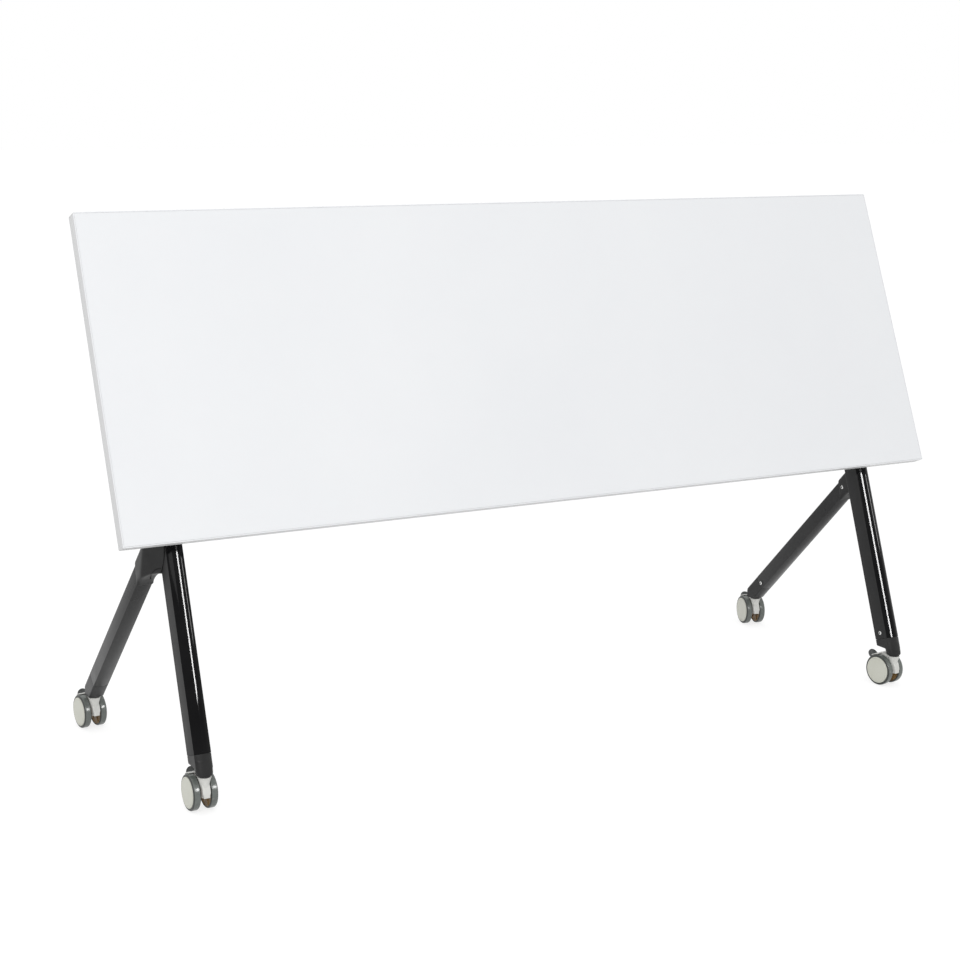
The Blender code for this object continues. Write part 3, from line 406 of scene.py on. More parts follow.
def makeFinish(name):
    look = finishes[name]
    mat = bpy.data.materials.new(name)
    mat.use_nodes = True
    tree = mat.node_tree
    shader = tree.nodes["Principled BSDF"]
    shader.inputs["Metallic"].default_value = look.get("metallic", 0.0)
    shader.inputs["Specular IOR Level"].default_value = look.get("specular", 0.5)
    grainScale, grainDepth = look["grain"]
    grain = placeGroup(tree, grainGroup, {"Grain Scale": grainScale, "Patch Scale": look["patch"]})
    patch = spanNode(tree, grain.outputs["Patch"], 0.0, 1.0)
    colour = toneNode(tree, patch, *look["tones"])
    height = grain.outputs["Grain"]
    if "scuff" in look:
        scale, amount, tone = look["scuff"]
        spots = placeGroup(tree, scuffGroup, {"Spot Scale": scale, "Amount": amount})
        colour = toneNode(tree, spots.outputs["Spots"], colour, tone)
    if "streak" in look:
        angles, lines, run = look["streak"]
        turn = tuple(math.radians(a) for a in angles)
        streak = placeGroup(tree, streakGroup, {"Turn": turn, "Lines": lines, "Run": run})
        height = streak.outputs["Streak"]
    rough = spanNode(tree, grain.outputs["Patch"], *look["rough"])
    bump = tree.nodes.new("ShaderNodeBump")
    bump.inputs["Strength"].default_value = 0.6
    bump.inputs["Distance"].default_value = grainDepth
    tree.links.new(height, bump.inputs["Height"])
    tree.links.new(colour, shader.inputs["Base Color"])
    tree.links.new(rough, shader.inputs["Roughness"])
    tree.links.new(bump.outputs["Normal"], shader.inputs["Normal"])
    return mat


mats = {name: makeFinish(name) for name in finishes}
print("finishes made,", len(mats))

# leg extrusions
legs = {
    "footZ": 0.069, "spacing": 0.785, "outset": 0.0265, "wall": 0.0025, "corner": 0.004, "edge": 0.0007,
    "bowSteps": 28, "cornerSteps": 6, "frontSplit": 0.6, "splitTilt": 13.0, "splitReach": 0.0005,
    "front": {"width": 0.032, "depth": 0.044, "crown": 0.006, "lean": 20.0, "face": 0.0125,
              "from": 0.041, "to": 0.60735},
    "rear": {"width": 0.030, "depth": 0.034, "crown": 0.003, "lean": -44.0, "face": 0.0142,
             "from": 0.042, "to": 0.46},
}


def legMatrix(end, sign):
    leg = legs[end]
    turn = -math.radians(leg["lean"])
    stemY = jointOf[end + "_left_swivel"]["pos_m"][1]
    y = stemY - leg["face"] + math.cos(turn) * leg["depth"] / 2
    z = legs["footZ"] + math.sin(turn) * leg["depth"] / 2
    x = sign * (legs["spacing"] + (legs["outset"] if end == "rear" else 0.0))
    return Matrix.Translation((x, y, z)) @ Matrix.Rotation(turn, 4, "X")


def legOutline(leg):  # a crowned front and two round corners at the back
    half = leg["width"] / 2
    front = -leg["depth"] / 2
    points = []
    for i in range(legs["bowSteps"] + 1):
        t = i / legs["bowSteps"]
        points.append((-half + leg["width"] * t, front + leg["crown"] * (2 * t - 1) ** 2))
    corner = legs["corner"]
    back = leg["depth"] / 2 - corner
    points += arcPoints((half - corner, back), corner, 0, 90, legs["cornerSteps"])
    points += arcPoints((corner - half, back), corner, 90, 180, legs["cornerSteps"])
    return points


def buildLegs():
    for end in ("front", "rear"):
        leg = legs[end]
        outline = [(x, y, leg["from"]) for x, y in legOutline(leg)]
        tube = drawOut(end + "LegTube", outline, (0, 0, leg["to"] - leg["from"]), filled=False)
        for label, sign in sideSign.items():
            node = label + "_" + end + "_leg"
            obj = copyTo(tube, label + "_" + end + "_extrusion", legMatrix(end, sign))
            if end == "rear":
                trimRear(obj, node)
            thicken(obj, legs["wall"])
            roundEdges(obj, legs["edge"], angle=35)
            smoothBy(obj, angle=40)
            dressLeg(obj, end, sign)
            seat(obj, node)
        bpy.data.objects.remove(tube, do_unlink=True)
    print("legs drawn")


def dressLeg(obj, end, sign):
    if end == "rear":
        # the rear legs take the lighter copy of the coat, a painted reflection
        wear(obj, mats["rearSheenBlack"])
        return
    wear(obj, mats["sideSheenBlack"], mats["glossBlack"])
    ahead = legMatrix(end, sign).to_3x3() @ Vector((0.0, -1.0, 0.0))
    for face in obj.data.polygons:  # the crowned front takes the gloss coat, the flat sides a lighter and rougher copy of it as painted reflection
        face.material_index = 1 if face.normal.dot(ahead) > legs["frontSplit"] else 0
    glossPieces["legs"].append(obj)
    if sign > 0:
        glossPieces["rightLeg"].append(obj)


def trimRear(obj, node):  # the upper end is cut to the knuckle's slanted joint
    slope = math.radians(legs["splitTilt"])
    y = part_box(node)[0].y
    z = min(v.co.z for v in nodes[node].data.vertices if v.co.y < y + legs["splitReach"])
    editAll(obj)
    normal = (0.0, -math.cos(slope), math.sin(slope))
    bpy.ops.mesh.bisect(plane_co=(0.0, y, z), plane_no=normal, clear_outer=True)
    bpy.ops.object.mode_set(mode="OBJECT")


buildLegs()

# castings: soft edged copies of the solids, remeshed so that the edges roll over as on a die casting
castings = {"voxel": 0.0009, "factor": 0.5, "ease": 4,
            "passes": {"knuckle": 160, "front_foot": 8, "rear_foot": 8, "leg_head": 6},
            "hold": (0.0012, 0.0090)}  # smoothing fades in between these distances from a joint

# spots on the knuckle's arched face, each as (outward from the front leg's middle, y, z)
arch = {"low": (0.0430, -0.0940, 0.3830), "high": (0.0430, -0.1066, 0.4310),
        "lip": (0.0185, -0.1490, 0.4400), "web": (0.0175, -0.1360, 0.4059)}
groove = {"start": (0.0210, -0.0870, 0.3760), "end": (0.0210, -0.1400, 0.4070), "bow": 0.0062, "steps": 30,
          "aim": (-0.479, 0.859, -0.181), "wide": 0.0017, "deep": 0.0036, "lead": 0.004, "reach": 0.1}

mates = {"knuckle": ("_front_leg", "_rear_leg", "_leg_head"), "front_foot": ("_front_leg",),
         "rear_foot": ("_rear_leg",), "leg_head": ("_front_leg", "_knuckle")}


def holdJoints(obj, mateNodes):  # weight 0 at the faces that meet a neighbour, 1 away from them
    near, far = castings["hold"]
    trees = []
    for mesh in (nodes[n].data for n in mateNodes):
        trees.append(BVHTree.FromPolygons([v.co for v in mesh.vertices], [f.vertices for f in mesh.polygons]))
    group = obj.vertex_groups.new(name="soft")
    for spot in obj.data.vertices:
        gap = min(tree.find_nearest(spot.co)[3] for tree in trees)
        share = min(max((gap - near) / (far - near), 0.0), 1.0)
        group.add([spot.index], share * share * (3 - 2 * share), "REPLACE")
    return group.name


def cutArch(obj, sign):  # two flat cuts lead the rear leg's underside up to the front leg
    spots = {key: Vector((sign * (legs["spacing"] + o), y, z)) for key, (o, y, z) in arch.items()}
    low = spots["low"]
    for first, second in (("high", "lip"), ("lip", "web")):
        normal = (spots[first] - low).cross(spots[second] - low).normalized()
        if normal.x * sign < 0:
            normal.negate()
        editAll(obj)
        bpy.ops.mesh.bisect(plane_co=low, plane_no=normal, use_fill=True, clear_outer=True)
        bpy.ops.object.mode_set(mode="OBJECT")


def scoreArch(obj, sign):  # a thin slot laid on the face, parallel to the arch
    g = groove
    start, end, aim = (Vector((sign * o, y, z)) for o, y, z in (g["start"], g["end"], g["aim"]))
    aim.normalize()
    shift = Vector((sign * legs["spacing"], 0.0, 0.0))
    rise = Vector((0.0, start.z - end.z, end.y - start.y)).normalized() * -g["bow"]
    points = []
    for i in range(g["steps"] + 1):
        t = i / g["steps"]
        spot = shift + start.lerp(end, t) + rise * 4 * t * (1 - t)
        hit, touch = obj.ray_cast(spot - aim * g["reach"], aim)[:2]
        if hit:
            points.append(touch - aim * g["lead"])
    tool = drawLine("slotShape", points, closed=False)
    editAll(tool)
    bpy.ops.mesh.extrude_region_move(TRANSFORM_OT_translate={"value": aim * (g["deep"] + g["lead"])})
    faceOut()
    bpy.ops.object.mode_set(mode="OBJECT")
    applyMod(tool, "SOLIDIFY", thickness=g["wide"], offset=0.0)
    join(obj, tool, "DIFFERENCE")


def buildCastings():
    c = castings
    for label, sign in sideSign.items():
        for kind, passes in c["passes"].items():
            node = label + "_" + kind
            obj = copyNode(node, node + "_casting")
            if kind == "knuckle":
                cutArch(obj, sign)
            obj.data.remesh_voxel_size = c["voxel"]
            pick(obj)
            bpy.ops.object.voxel_remesh()
            applyMod(obj, "SMOOTH", factor=c["factor"], iterations=c["ease"])
            held = holdJoints(obj, [label + mate for mate in mates[kind]])
            applyMod(obj, "SMOOTH", factor=c["factor"], iterations=passes, vertex_group=held)
            if kind == "knuckle":
                scoreArch(obj, sign)
            # the rear feet take the rear legs' lighter copy of the coat as painted reflection, the other castings
            # satin black
            dress(obj, "rearSheenBlack" if kind == "rear_foot" else "satinBlack", angle=40)
            seat(obj, node)
    print("castings softened")


buildCastings()

# twin wheel casters, modelled in the caster's own axes with the floor at z = 0
wheel = {"radius": 0.0325, "trail": 0.0235, "inner": 0.0092, "outer": 0.0228, "shoulder": 0.0030,
         "rim": 0.0281, "core": 0.0294, "recess": 0.0020, "lip": 0.0004, "heel": 0.0008,
         "steps": 72, "arcSteps": 6}


def casterMatrix(label):
    spot = jointOf[label + "_swivel"]["pos_m"]
    across = Vector(jointOf[label + "_wheel_left_roll"]["axis"]).normalized()
    turn = math.atan2(across.y, across.x)
    return Matrix.Translation((spot[0], spot[1], 0.0)) @ Matrix.Rotation(turn, 4, "Z")


def tyreShape():
    w = wheel
    s = w["shoulder"]
    inner = w["inner"]
    outer = w["outer"]
    ledge = outer - w["recess"] - w["lip"]
    profile = [(w["core"], inner + w["heel"])]
    profile += [(r, x) for x, r in arcPoints((inner + s, w["radius"] - s), s, 180, 90, w["arcSteps"])]
    profile += [(w["radius"], (inner + outer) / 2)]
    profile += [(r, x) for x, r in arcPoints((outer - s, w["radius"] - s), s, 90, 0, w["arcSteps"])]
    profile += [(w["rim"] + w["lip"], outer), (w["rim"], outer - w["lip"])]
    profile += [(w["rim"], ledge), (w["core"], ledge)]
    obj = spinAboutX("tyreShape", profile, w["steps"])
    smoothBy(obj)
    wear(obj, mats["treadGrey"], mats["tyreShadeEdge"])
    for face in obj.data.polygons:  # painted shade: the recessed rim round the cover, the sides and the inner wall take a darker tone
        sunk = math.hypot(face.center.y, face.center.z) < w["radius"] - s
        face.material_index = 1 if sunk or abs(face.normal.x) > 0.5 else 0
    return obj


core = {"bore": 0.0043, "hub": 0.0090, "hubFace": 0.0076, "dish": 0.0114, "draft": 0.0002, "ease": 0.0006,
        "fillet": 0.0010, "taper": 0.0014, "slack": 0.0001, "ribs": 6, "ribSink": 0.0008}


def coreShape():
    c = core
    hub, dish, ease, fillet = (c[k] for k in ("hub", "dish", "ease", "fillet"))
    rim = wheel["core"]
    inner = wheel["inner"]
    back = wheel["outer"] - wheel["recess"] - ease
    profile = [(c["bore"], c["hubFace"]), (hub - ease, c["hubFace"]), (hub, c["hubFace"] + ease)]
    profile += [(hub + c["draft"], dish - ease), (hub + fillet, dish), (rim - fillet - c["taper"], dish)]
    profile += [(rim - c["taper"], inner + c["taper"]), (rim - fillet, inner + fillet)]
    profile += [(rim - c["slack"], inner + fillet), (rim - c["slack"], back), (c["bore"], back)]
    obj = spinAboutX("coreShape", profile, wheel["steps"])
    between = wheel["steps"] // c["ribs"]

    def onRib(centre, normal):
        radius = math.hypot(centre.y, centre.z)
        flat = normal.x < -0.9 and abs(centre.x - dish) < c["slack"]
        turn = math.atan2(centre.z, centre.y) % math.tau
        return flat and hub < radius and int(turn / math.tau * wheel["steps"]) % between == 0

    pickFaces(obj, onRib)
    bpy.ops.mesh.extrude_region_move(TRANSFORM_OT_translate={"value": (inner + c["ribSink"] - dish, 0, 0)})
    bpy.ops.object.mode_set(mode="OBJECT")
    return dress(obj, "coreBrown", angle=30)


cover = {"radius": 0.0278, "proud": 0.0010, "crown": 0.0006, "gap": 0.0003, "edgeSteps": 5,
         "groove": ((0.0026, 0.0001), (0.0029, -0.0002), (0.0034, -0.0002), (0.0037, 0.0002)),
         "shares": (0.75, 0.5, 0.25, 0.0)}  # groove points as (in from the edge, out from the face)


def coverShape():
    c = cover
    r = c["radius"]
    proud = c["proud"]
    outer = wheel["outer"]
    back = outer - wheel["recess"] + c["gap"]
    profile = [(0.0, back), (r, back), (r, outer)]
    profile += [(pr, px) for px, pr in arcPoints((outer, r - proud), proud, 90, 0, c["edgeSteps"])][1:]
    profile += [(r - inset, outer + proud + step) for inset, step in c["groove"]]
    profile += [(r * share, outer + proud + c["crown"] * (1 - share ** 2)) for share in c["shares"]]
    return dress(spinAboutX("coverShape", profile, wheel["steps"], closed=False), "coverGrey", angle=30)


housing = {
    "neckTop": 0.0125, "neck": 0.0073, "neckLow": 0.029, "neckHigh": 0.0663, "neckSteps": 16,
    "neckEase": 0.0008, "mouthEase": 0.0006, "stemHole": 0.0054, "holeDeep": 0.016,
    "web": 0.0072, "hood": 0.0354, "hoodArc": (62.0, 184.0), "hubWeb": 0.0072, "hubArc": (198.0, 342.0),
    "seatArc": (-126.0, -261.0), "hoodEdge": 0.0010, "chin": 0.80, "chinTop": 0.004,
    "fender": (0.0336, 0.0352), "fenderArc": (52.0, 84.0), "fenderHalf": 0.0190, "fenderEdge": 0.0005,
}


def neckShape():  # a flared neck with a blind hole for the stem
    h = housing
    low = h["neckLow"]
    high = h["neckHigh"]
    ease = h["neckEase"]
    profile = [(0.0, low), (h["neck"] - ease, low), (h["neck"], low + ease)]
    for i in range(1, h["neckSteps"]):
        t = i / h["neckSteps"]
        profile.append((h["neck"] + (h["neckTop"] - h["neck"]) * t ** 3, low + (high - low) * t))
    profile += [(h["neckTop"], high - ease), (h["neckTop"] - h["mouthEase"], high), (h["stemHole"], high)]
    profile += [(h["stemHole"], high - h["holeDeep"]), (0.0, high - h["holeDeep"])]
    return spinAboutZ("housingShape", profile, closed=False)


def hoodShape():  # a web between the wheels, cut out round the pedal's eye
    h = housing
    hubSpot = (wheel["trail"], wheel["radius"])
    start, end = (pedal["tilt"] + angle for angle in h["seatArc"])
    outline = arcPoints(hubSpot, h["hood"], *h["hoodArc"], steps=36)
    outline += arcPoints(hubSpot, h["hubWeb"], *h["hubArc"], steps=14)
    outline += arcPoints(pedalPivot(), pedal["eye"] + pedal["gap"], start, end, steps=10)
    hood = drawOut("hoodShape", [(-h["web"], y, z) for y, z in outline], (2 * h["web"], 0, 0))
    editAll(hood)
    bpy.ops.mesh.select_all(action="DESELECT")
    bpy.ops.object.mode_set(mode="OBJECT")
    for spot in hood.data.vertices:  # the front tapers to a narrow chin
        spot.select = spot.co.y < 0.0 and spot.co.z < wheel["radius"] + h["chinTop"]
    bpy.ops.object.mode_set(mode="EDIT")
    bpy.ops.transform.resize(value=(h["chin"], 1, 1), center_override=(0, 0, 0))
    bpy.ops.object.mode_set(mode="OBJECT")
    roundEdges(hood, h["hoodEdge"], angle=40)
    return hood


def fenderShape():
    h = housing
    hubSpot = (wheel["trail"], wheel["radius"])
    low, high = h["fender"]
    start, end = h["fenderArc"]
    strip = arcPoints(hubSpot, high, start, end, steps=20) + arcPoints(hubSpot, low, end, start, steps=20)
    half = h["fenderHalf"]
    fender = drawOut("fenderShape", [(-half, y, z) for y, z in strip], (2 * half, 0, 0))
    roundEdges(fender, h["fenderEdge"], segments=2, angle=50)
    return fender


def housingShape():
    body = neckShape()
    join(body, hoodShape())
    join(body, fenderShape())
    return dress(body, "housingWhite")


pedal = {"pivot": 0.0270, "angle": 30.0, "tilt": 46.0, "reach": 0.0138, "pad": 0.0115, "padSteps": 36,
         "thick": 0.0050, "neck": 0.0072, "rim": 0.0030, "dent": (0.0012, -0.0006), "edge": 0.0014,
         "eye": 0.0050, "eyeSteps": 48, "eyeEdge": 0.0005, "gap": 0.0003}


def pedalPivot():
    a = math.radians(pedal["angle"])
    y = wheel["trail"] + pedal["pivot"] * math.cos(a)
    return (y, wheel["radius"] + pedal["pivot"] * math.sin(a))


def pedalShape():
    p = pedal
    half = p["neck"]
    edge = math.degrees(math.acos(half / p["pad"]))
    plan = [(-half, 0.0), (half, 0.0)]
    plan += arcPoints((0.0, p["reach"]), p["pad"], -edge, 180 + edge, p["padSteps"])
    pad = drawOut("pedalShape", [(x, y, -p["thick"] / 2) for x, y in plan], (0, 0, p["thick"]))
    pickFaces(pad, lambda centre, normal: normal.z > 0.9)
    wide, deep = p["dent"]
    bpy.ops.mesh.inset(thickness=p["rim"], depth=0.0)
    bpy.ops.mesh.inset(thickness=wide, depth=deep)
    bpy.ops.object.mode_set(mode="OBJECT")
    roundEdges(pad, p["edge"], segments=4, angle=40)
    eye = [(-half, y, z) for y, z in ringPoints(p["eye"], p["eyeSteps"])]
    barrel = drawOut("pedalEye", eye, (2 * half, 0, 0))
    roundEdges(barrel, p["eyeEdge"], segments=2, angle=40)
    join(pad, barrel)
    turn = Matrix.Rotation(math.radians(p["tilt"]), 4, "X")
    return bake(dress(pad, "pedalGrey"), Matrix.Translation((0.0, *pedalPivot())) @ turn)


stem = {"radius": 0.0050, "collar": 0.0110, "thick": 0.0021, "ease": 0.0005, "down": 0.015, "up": 0.0132,
        "gap": 0.0003}


def stemShape():
    r = stem["radius"]
    collar = stem["collar"]
    ease = stem["ease"]
    top = legs["footZ"] - stem["gap"]
    low = top - stem["thick"]
    profile = [(0.0, low - stem["down"]), (r, low - stem["down"]), (r, low), (collar - ease, low)]
    profile += [(collar, low + ease), (collar, top - ease), (collar - ease, top)]
    profile += [(r, top), (r, top + stem["up"]), (0.0, top + stem["up"])]
    return dress(spinAboutZ("stemShape", profile, steps=40, closed=False), "collarSteelAndShade")


axle = {"radius": 0.0040, "ease": 0.0006, "gap": 0.0003}


def axleShape():
    half = wheel["outer"] - wheel["recess"] - axle["gap"]
    return dress(barShape("axleShape", axle["radius"], axle["ease"], -half, half), "zincSteel")


def buildCasters():
    shapes = {"tyre": tyreShape(), "core": coreShape(), "cover": coverShape(), "shell": housingShape(),
              "lever": pedalShape(), "post": stemShape(), "spindle": axleShape()}
    for label in casterNames:
        base = casterMatrix(label)
        line = base @ Matrix.Translation((0.0, wheel["trail"], wheel["radius"]))
        for hand, sign in sideSign.items():
            facing = line @ Matrix.Scale(sign, 4, (1, 0, 0))
            node = label + "_wheel_" + hand
            glossPieces["treads"].append(place(shapes["tyre"], label + "_tyre_" + hand, facing, node))
            place(shapes["core"], label + "_core_" + hand, facing, node, stands=False)
            place(shapes["cover"], label + "_cover_" + hand, facing, label + "_hub_cover_" + hand)
        place(shapes["shell"], label + "_shell", base, label + "_caster_housing")
        place(shapes["lever"], label + "_lever", base, label + "_brake_pedal")
        place(shapes["post"], label + "_post", base, label + "_caster_stem")
        place(shapes["spindle"], label + "_spindle", line, label + "_caster_axle")
    for shape in shapes.values():
        bpy.data.objects.remove(shape, do_unlink=True)
    print("casters placed")


buildCasters()

# tabletop: the board keeps its solid, the band gets eased edges
board = {"width": 1.800, "depth": 0.600, "thick": 0.025, "band": 0.002, "drop": 0.035, "fromEdge": 0.263,
         "corner": 0.0020, "cornerSteps": 5, "ease": 0.0007, "fold": 67.5}
flipSpot = jointOf["top_flip"]["pos_m"]
topMatrix = Matrix.Translation(flipSpot) @ Matrix.Rotation(math.radians(board["fold"]), 4, "X")


def buildTop():
    b = board
    wear(nodes["tabletop"], mats["laminate"])
    middle = b["depth"] / 2 - b["fromEdge"]
    ring = softBox((0.0, middle), (b["width"], b["depth"]), b["corner"], b["cornerSteps"])
    band = drawOut("eased_band", [(x, y, b["drop"]) for x, y in ring], (0, 0, b["thick"]), filled=False)
    thicken(band, b["band"])
    roundEdges(band, b["ease"], angle=60)
    smoothBy(band, angle=40)
    wear(band, mats["shadedBand"], mats["laminate"])
    for face in band.data.polygons:  # its upper rim is trimmed flush and keeps the board's white, the sides take a darker tone that is painted shade
        face.material_index = 1 if face.normal.z > 0.5 else 0
    bake(band, topMatrix)
    seat(band, "edge_band")
    print("top finished")


buildTop()

# flip and latch hardware behind the top
hardware = {"bracketEdge": 0.0006, "handleEdge": 0.0012, "saddleEdge": 0.0008, "pawlEdge": 0.0004,
            "rivetEdge": 0.0004, "flat": 0.5, "barEase": 0.12}  # the bar's ease is a share of its radius


def edgedCopy(node, name, width, mat):
    obj = copyNode(node, name)
    editAll(obj)
    bpy.ops.mesh.dissolve_limited(angle_limit=math.radians(hardware["flat"]))
    bpy.ops.object.mode_set(mode="OBJECT")
    roundEdges(obj, width, segments=2, angle=40)
    return seat(dress(obj, mat), node)


def roundBar(node, name):  # a turned pin or bar in place of a faceted one, along x
    low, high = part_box(node)
    radius = (high.z - low.z) / 2
    obj = barShape(name, radius, radius * hardware["barEase"], 0.0, high.x - low.x)
    bake(dress(obj, "zincSteel"), Matrix.Translation((low.x, (low.y + high.y) / 2, (low.z + high.z) / 2)))
    return seat(obj, node)


def buildHardware():
    h = hardware
    for label in sideSign:
        edgedCopy(label + "_top_bracket", label + "_bracket_plate", h["bracketEdge"], "blackSteel")
        edgedCopy(label + "_bar_saddle", label + "_saddle_block", h["saddleEdge"], "blackPlastic")
        edgedCopy(label + "_pawl", label + "_pawl_strut", h["pawlEdge"], "zincSteel")
        edgedCopy(label + "_hinge_pin", label + "_hinge_rivet", h["rivetEdge"], "zincSteel")
        roundBar(label + "_striker", label + "_striker_pin")
    roundBar("release_bar", "latch_bar")
    edgedCopy("release_handle", "latch_paddle", h["handleEdge"], "blackPlastic")
    print("hardware built")


buildHardware()

# crossbeam between the front legs
beam = {"size": (0.030, 0.040), "corner": 0.004, "cornerSteps": 6, "wall": 0.002, "drop": 0.090,
        "gap": 0.0003, "plugSink": 0.0006, "plugDeep": 0.012, "plugEdge": 0.0005}


def beamRise():  # up the front leg from its foot to the beam's middle
    climb = flipSpot[2] - beam["drop"] - legs["footZ"]
    return climb / math.cos(math.radians(legs["front"]["lean"]))


def buildBeam():
    b = beam
    leg = legMatrix("front", 0.0)
    middle = (legs["front"]["depth"] / 2 + b["gap"] + b["size"][0] / 2, beamRise())
    half = legs["spacing"] + legs["front"]["width"] / 2
    ring = softBox(middle, b["size"], b["corner"], b["cornerSteps"])
    tube = drawOut("beam_tube", [(-half, y, z) for y, z in ring], (2 * half, 0, 0), filled=False)
    thicken(tube, b["wall"])
    bake(dress(tube, "blackSteel"), leg)
    seat(tube, "crossbeam")
    ring = softBox(middle, b["size"], b["corner"], b["cornerSteps"], inset=b["wall"] + b["gap"])
    for label, sign in sideSign.items():  # push-in plugs close the open ends
        start = sign * (half - b["plugSink"])
        plug = drawOut(label + "_beam_plug", [(start, y, z) for y, z in ring], (-sign * b["plugDeep"], 0, 0))
        roundEdges(plug, b["plugEdge"], segments=2, angle=50)
        bake(dress(plug, "blackPlastic"), leg)
        seat(plug, "crossbeam", stands=False)
    print("beam built")


buildBeam()

# button head screws with a hex socket, on a thin black washer
screw = {"head": 0.0041, "rise": 0.0021, "foot": 0.0003, "dome": 0.55, "domeSteps": 8, "steps": 36,
         "socket": 0.0021, "deep": 0.0015, "dark": 0.95, "darkFrom": 0.0002, "darkTo": 0.0020}
washer = {"bore": 0.00246, "radius": 0.0060, "thick": 0.0006, "shoulder": 0.00036, "ease": 0.0004,
          "steps": 36}

# screws as (y, z) up the leg, as (out from the leg, y) on a bracket and as (x, y) on a saddle
screwSpots = {"front_leg": (0.0008, 0.0534), "rear_leg": (-0.0035, 0.0480), "knuckle": (0.0002, 0.4339),
              "bracket": ((-0.038, -0.077), (0.028, -0.077), (-0.038, 0.060), (0.028, 0.060)),
              "saddle": ((0.090, -0.074), (0.090, -0.042)), "bolt": (-0.010, 0.010), "plate": 0.0043}


def screwShape():
    s = screw
    profile = [(0.0, 0.0), (s["head"], 0.0)]
    for i in range(s["domeSteps"] + 1):
        a = math.radians(90 * i / s["domeSteps"])
        radius = s["head"] * (s["dome"] * math.cos(a) + 1 - s["dome"])
        profile.append((radius, s["foot"] + (s["rise"] - s["foot"]) * math.sin(a)))
    profile.append((0.0, s["rise"]))
    head = spinAboutZ("screwShape", profile, s["steps"], closed=False)
    key = [(x, y, s["rise"] - s["deep"]) for x, y in ringPoints(s["socket"], 6)]
    join(head, drawOut("keyShape", key, (0, 0, s["deep"] * 2)), "DIFFERENCE")
    smoothBy(head)
    wear(head, mats["screwZinc"], mats["collarSteelAndShade"])
    for face in head.data.polygons:  # the key socket is painted dark inside as shade
        inside = math.hypot(face.center.x, face.center.y) < s["socket"] * s["dark"]
        face.material_index = 1 if inside and s["darkFrom"] < face.center.z < s["darkTo"] else 0
    return head


def washerShape():
    w = washer
    profile = [(w["bore"], 0.0), (w["radius"], 0.0), (w["radius"], w["shoulder"])]
    profile += [(w["radius"] - w["ease"], w["thick"]), (w["bore"], w["thick"])]
    return dress(spinAboutZ("washerShape", profile, w["steps"]), "blackPlastic")


def buildScrews():
    head = screwShape()
    ring = washerShape()
    lift = Matrix.Translation((0.0, 0.0, washer["thick"]))

    def fix(name, spot, normal, node, washed=True):
        turn = Vector(normal).to_track_quat("Z", "Y").to_matrix().to_4x4()
        matrix = Matrix.Translation(spot) @ turn
        if washed:
            place(ring, name + "_washer", matrix, node, stands=False)
            matrix = matrix @ lift
        place(head, name, matrix, node, stands=False)

    plateDown = topMatrix.to_3x3() @ Vector((0, 0, -1))
    plateZ = board["drop"] - screwSpots["plate"]
    beamBack = legs["front"]["depth"] / 2 + beam["gap"] + beam["size"][0]
    for label, sign in sideSign.items():
        for kind, end in (("front_leg", "front"), ("rear_leg", "rear"), ("knuckle", "rear")):
            spot = legMatrix(end, sign) @ Vector((-sign * legs[end]["width"] / 2, *screwSpots[kind]))
            fix(label + "_" + kind + "_screw", spot, (-sign, 0.0, 0.0), label + "_" + end + "_leg")
        for i, (x, y) in enumerate(screwSpots["bracket"], start=1):
            spot = topMatrix @ Vector((sign * (legs["spacing"] + x), y, plateZ))
            fix(label + "_bracket_screw_" + str(i), spot, plateDown, label + "_top_bracket", washed=False)
        for i, (x, y) in enumerate(screwSpots["saddle"], start=1):
            spot = topMatrix @ Vector((sign * x, y, plateZ))
            fix(label + "_saddle_screw_" + str(i), spot, plateDown, label + "_bar_saddle", washed=False)
        leg = legMatrix("front", sign)
        for i, z in enumerate(screwSpots["bolt"], start=1):
            spot = leg @ Vector((0.0, beamBack, beamRise() + z))
            fix(label + "_beam_bolt_" + str(i), spot, leg.to_3x3() @ Vector((0, 1, 0)), "crossbeam")
    for obj in (head, ring):
        bpy.data.objects.remove(obj, do_unlink=True)
    print("screws set")


buildScrews()

# plain studio: pale floor, white surroundings and soft boxes
studio = {"floorSize": 60.0, "floorTone": 0.34, "floorGlow": 0.76, "floorBounce": 0.8, "worldLevel": 0.82}

# the first two lamps light the object, the others only draw gloss lines on the pieces named
lamps = {
    "key": {"place": (-3.2, -4.2, 3.4), "aim": (-0.2, -0.1, 0.7), "size": (2.6, 2.2), "power": 76.0},
    "fill": {"place": (3.6, -3.0, 2.6), "aim": (0.4, -0.1, 0.5), "size": (2.0, 2.0), "power": 3.0},
    "legBox": {"on": "legs", "place": (1.139, -3.071, 1.6045), "aim": (0.0, -0.15, 0.35),
               "size": (0.80, 1.84), "power": 860.0},
    "legTail": {"on": "rightLeg", "place": (1.293, -3.467, 0.459), "aim": (0.143, -0.517, -0.711),
                "size": (0.80, 0.60), "power": 276.0},
    "legStrip": {"on": "legs", "place": (4.40, -1.90, 1.60), "aim": (0.0, -0.15, 0.35),
                 "size": (0.50, 1.60), "power": 76.0},
    "treadBox": {"on": "treads", "place": (0.60, -3.10, 1.62), "aim": (-0.8, -0.1, 0.05),
                 "size": (1.05, 0.80), "power": 60.0},
}


def rayMask(tree):  # 1 for what the camera, a gloss or a glass sees
    path = tree.nodes.new("ShaderNodeLightPath")
    total = path.outputs["Is Camera Ray"]
    for label in ("Is Glossy Ray", "Is Transmission Ray"):
        add = tree.nodes.new("ShaderNodeMath")
        add.operation = "MAXIMUM"
        tree.links.new(total, add.inputs[0])
        tree.links.new(path.outputs[label], add.inputs[1])
        total = add.outputs["Value"]
    return total


def greyOf(level):
    return (level, level, level, 1.0)


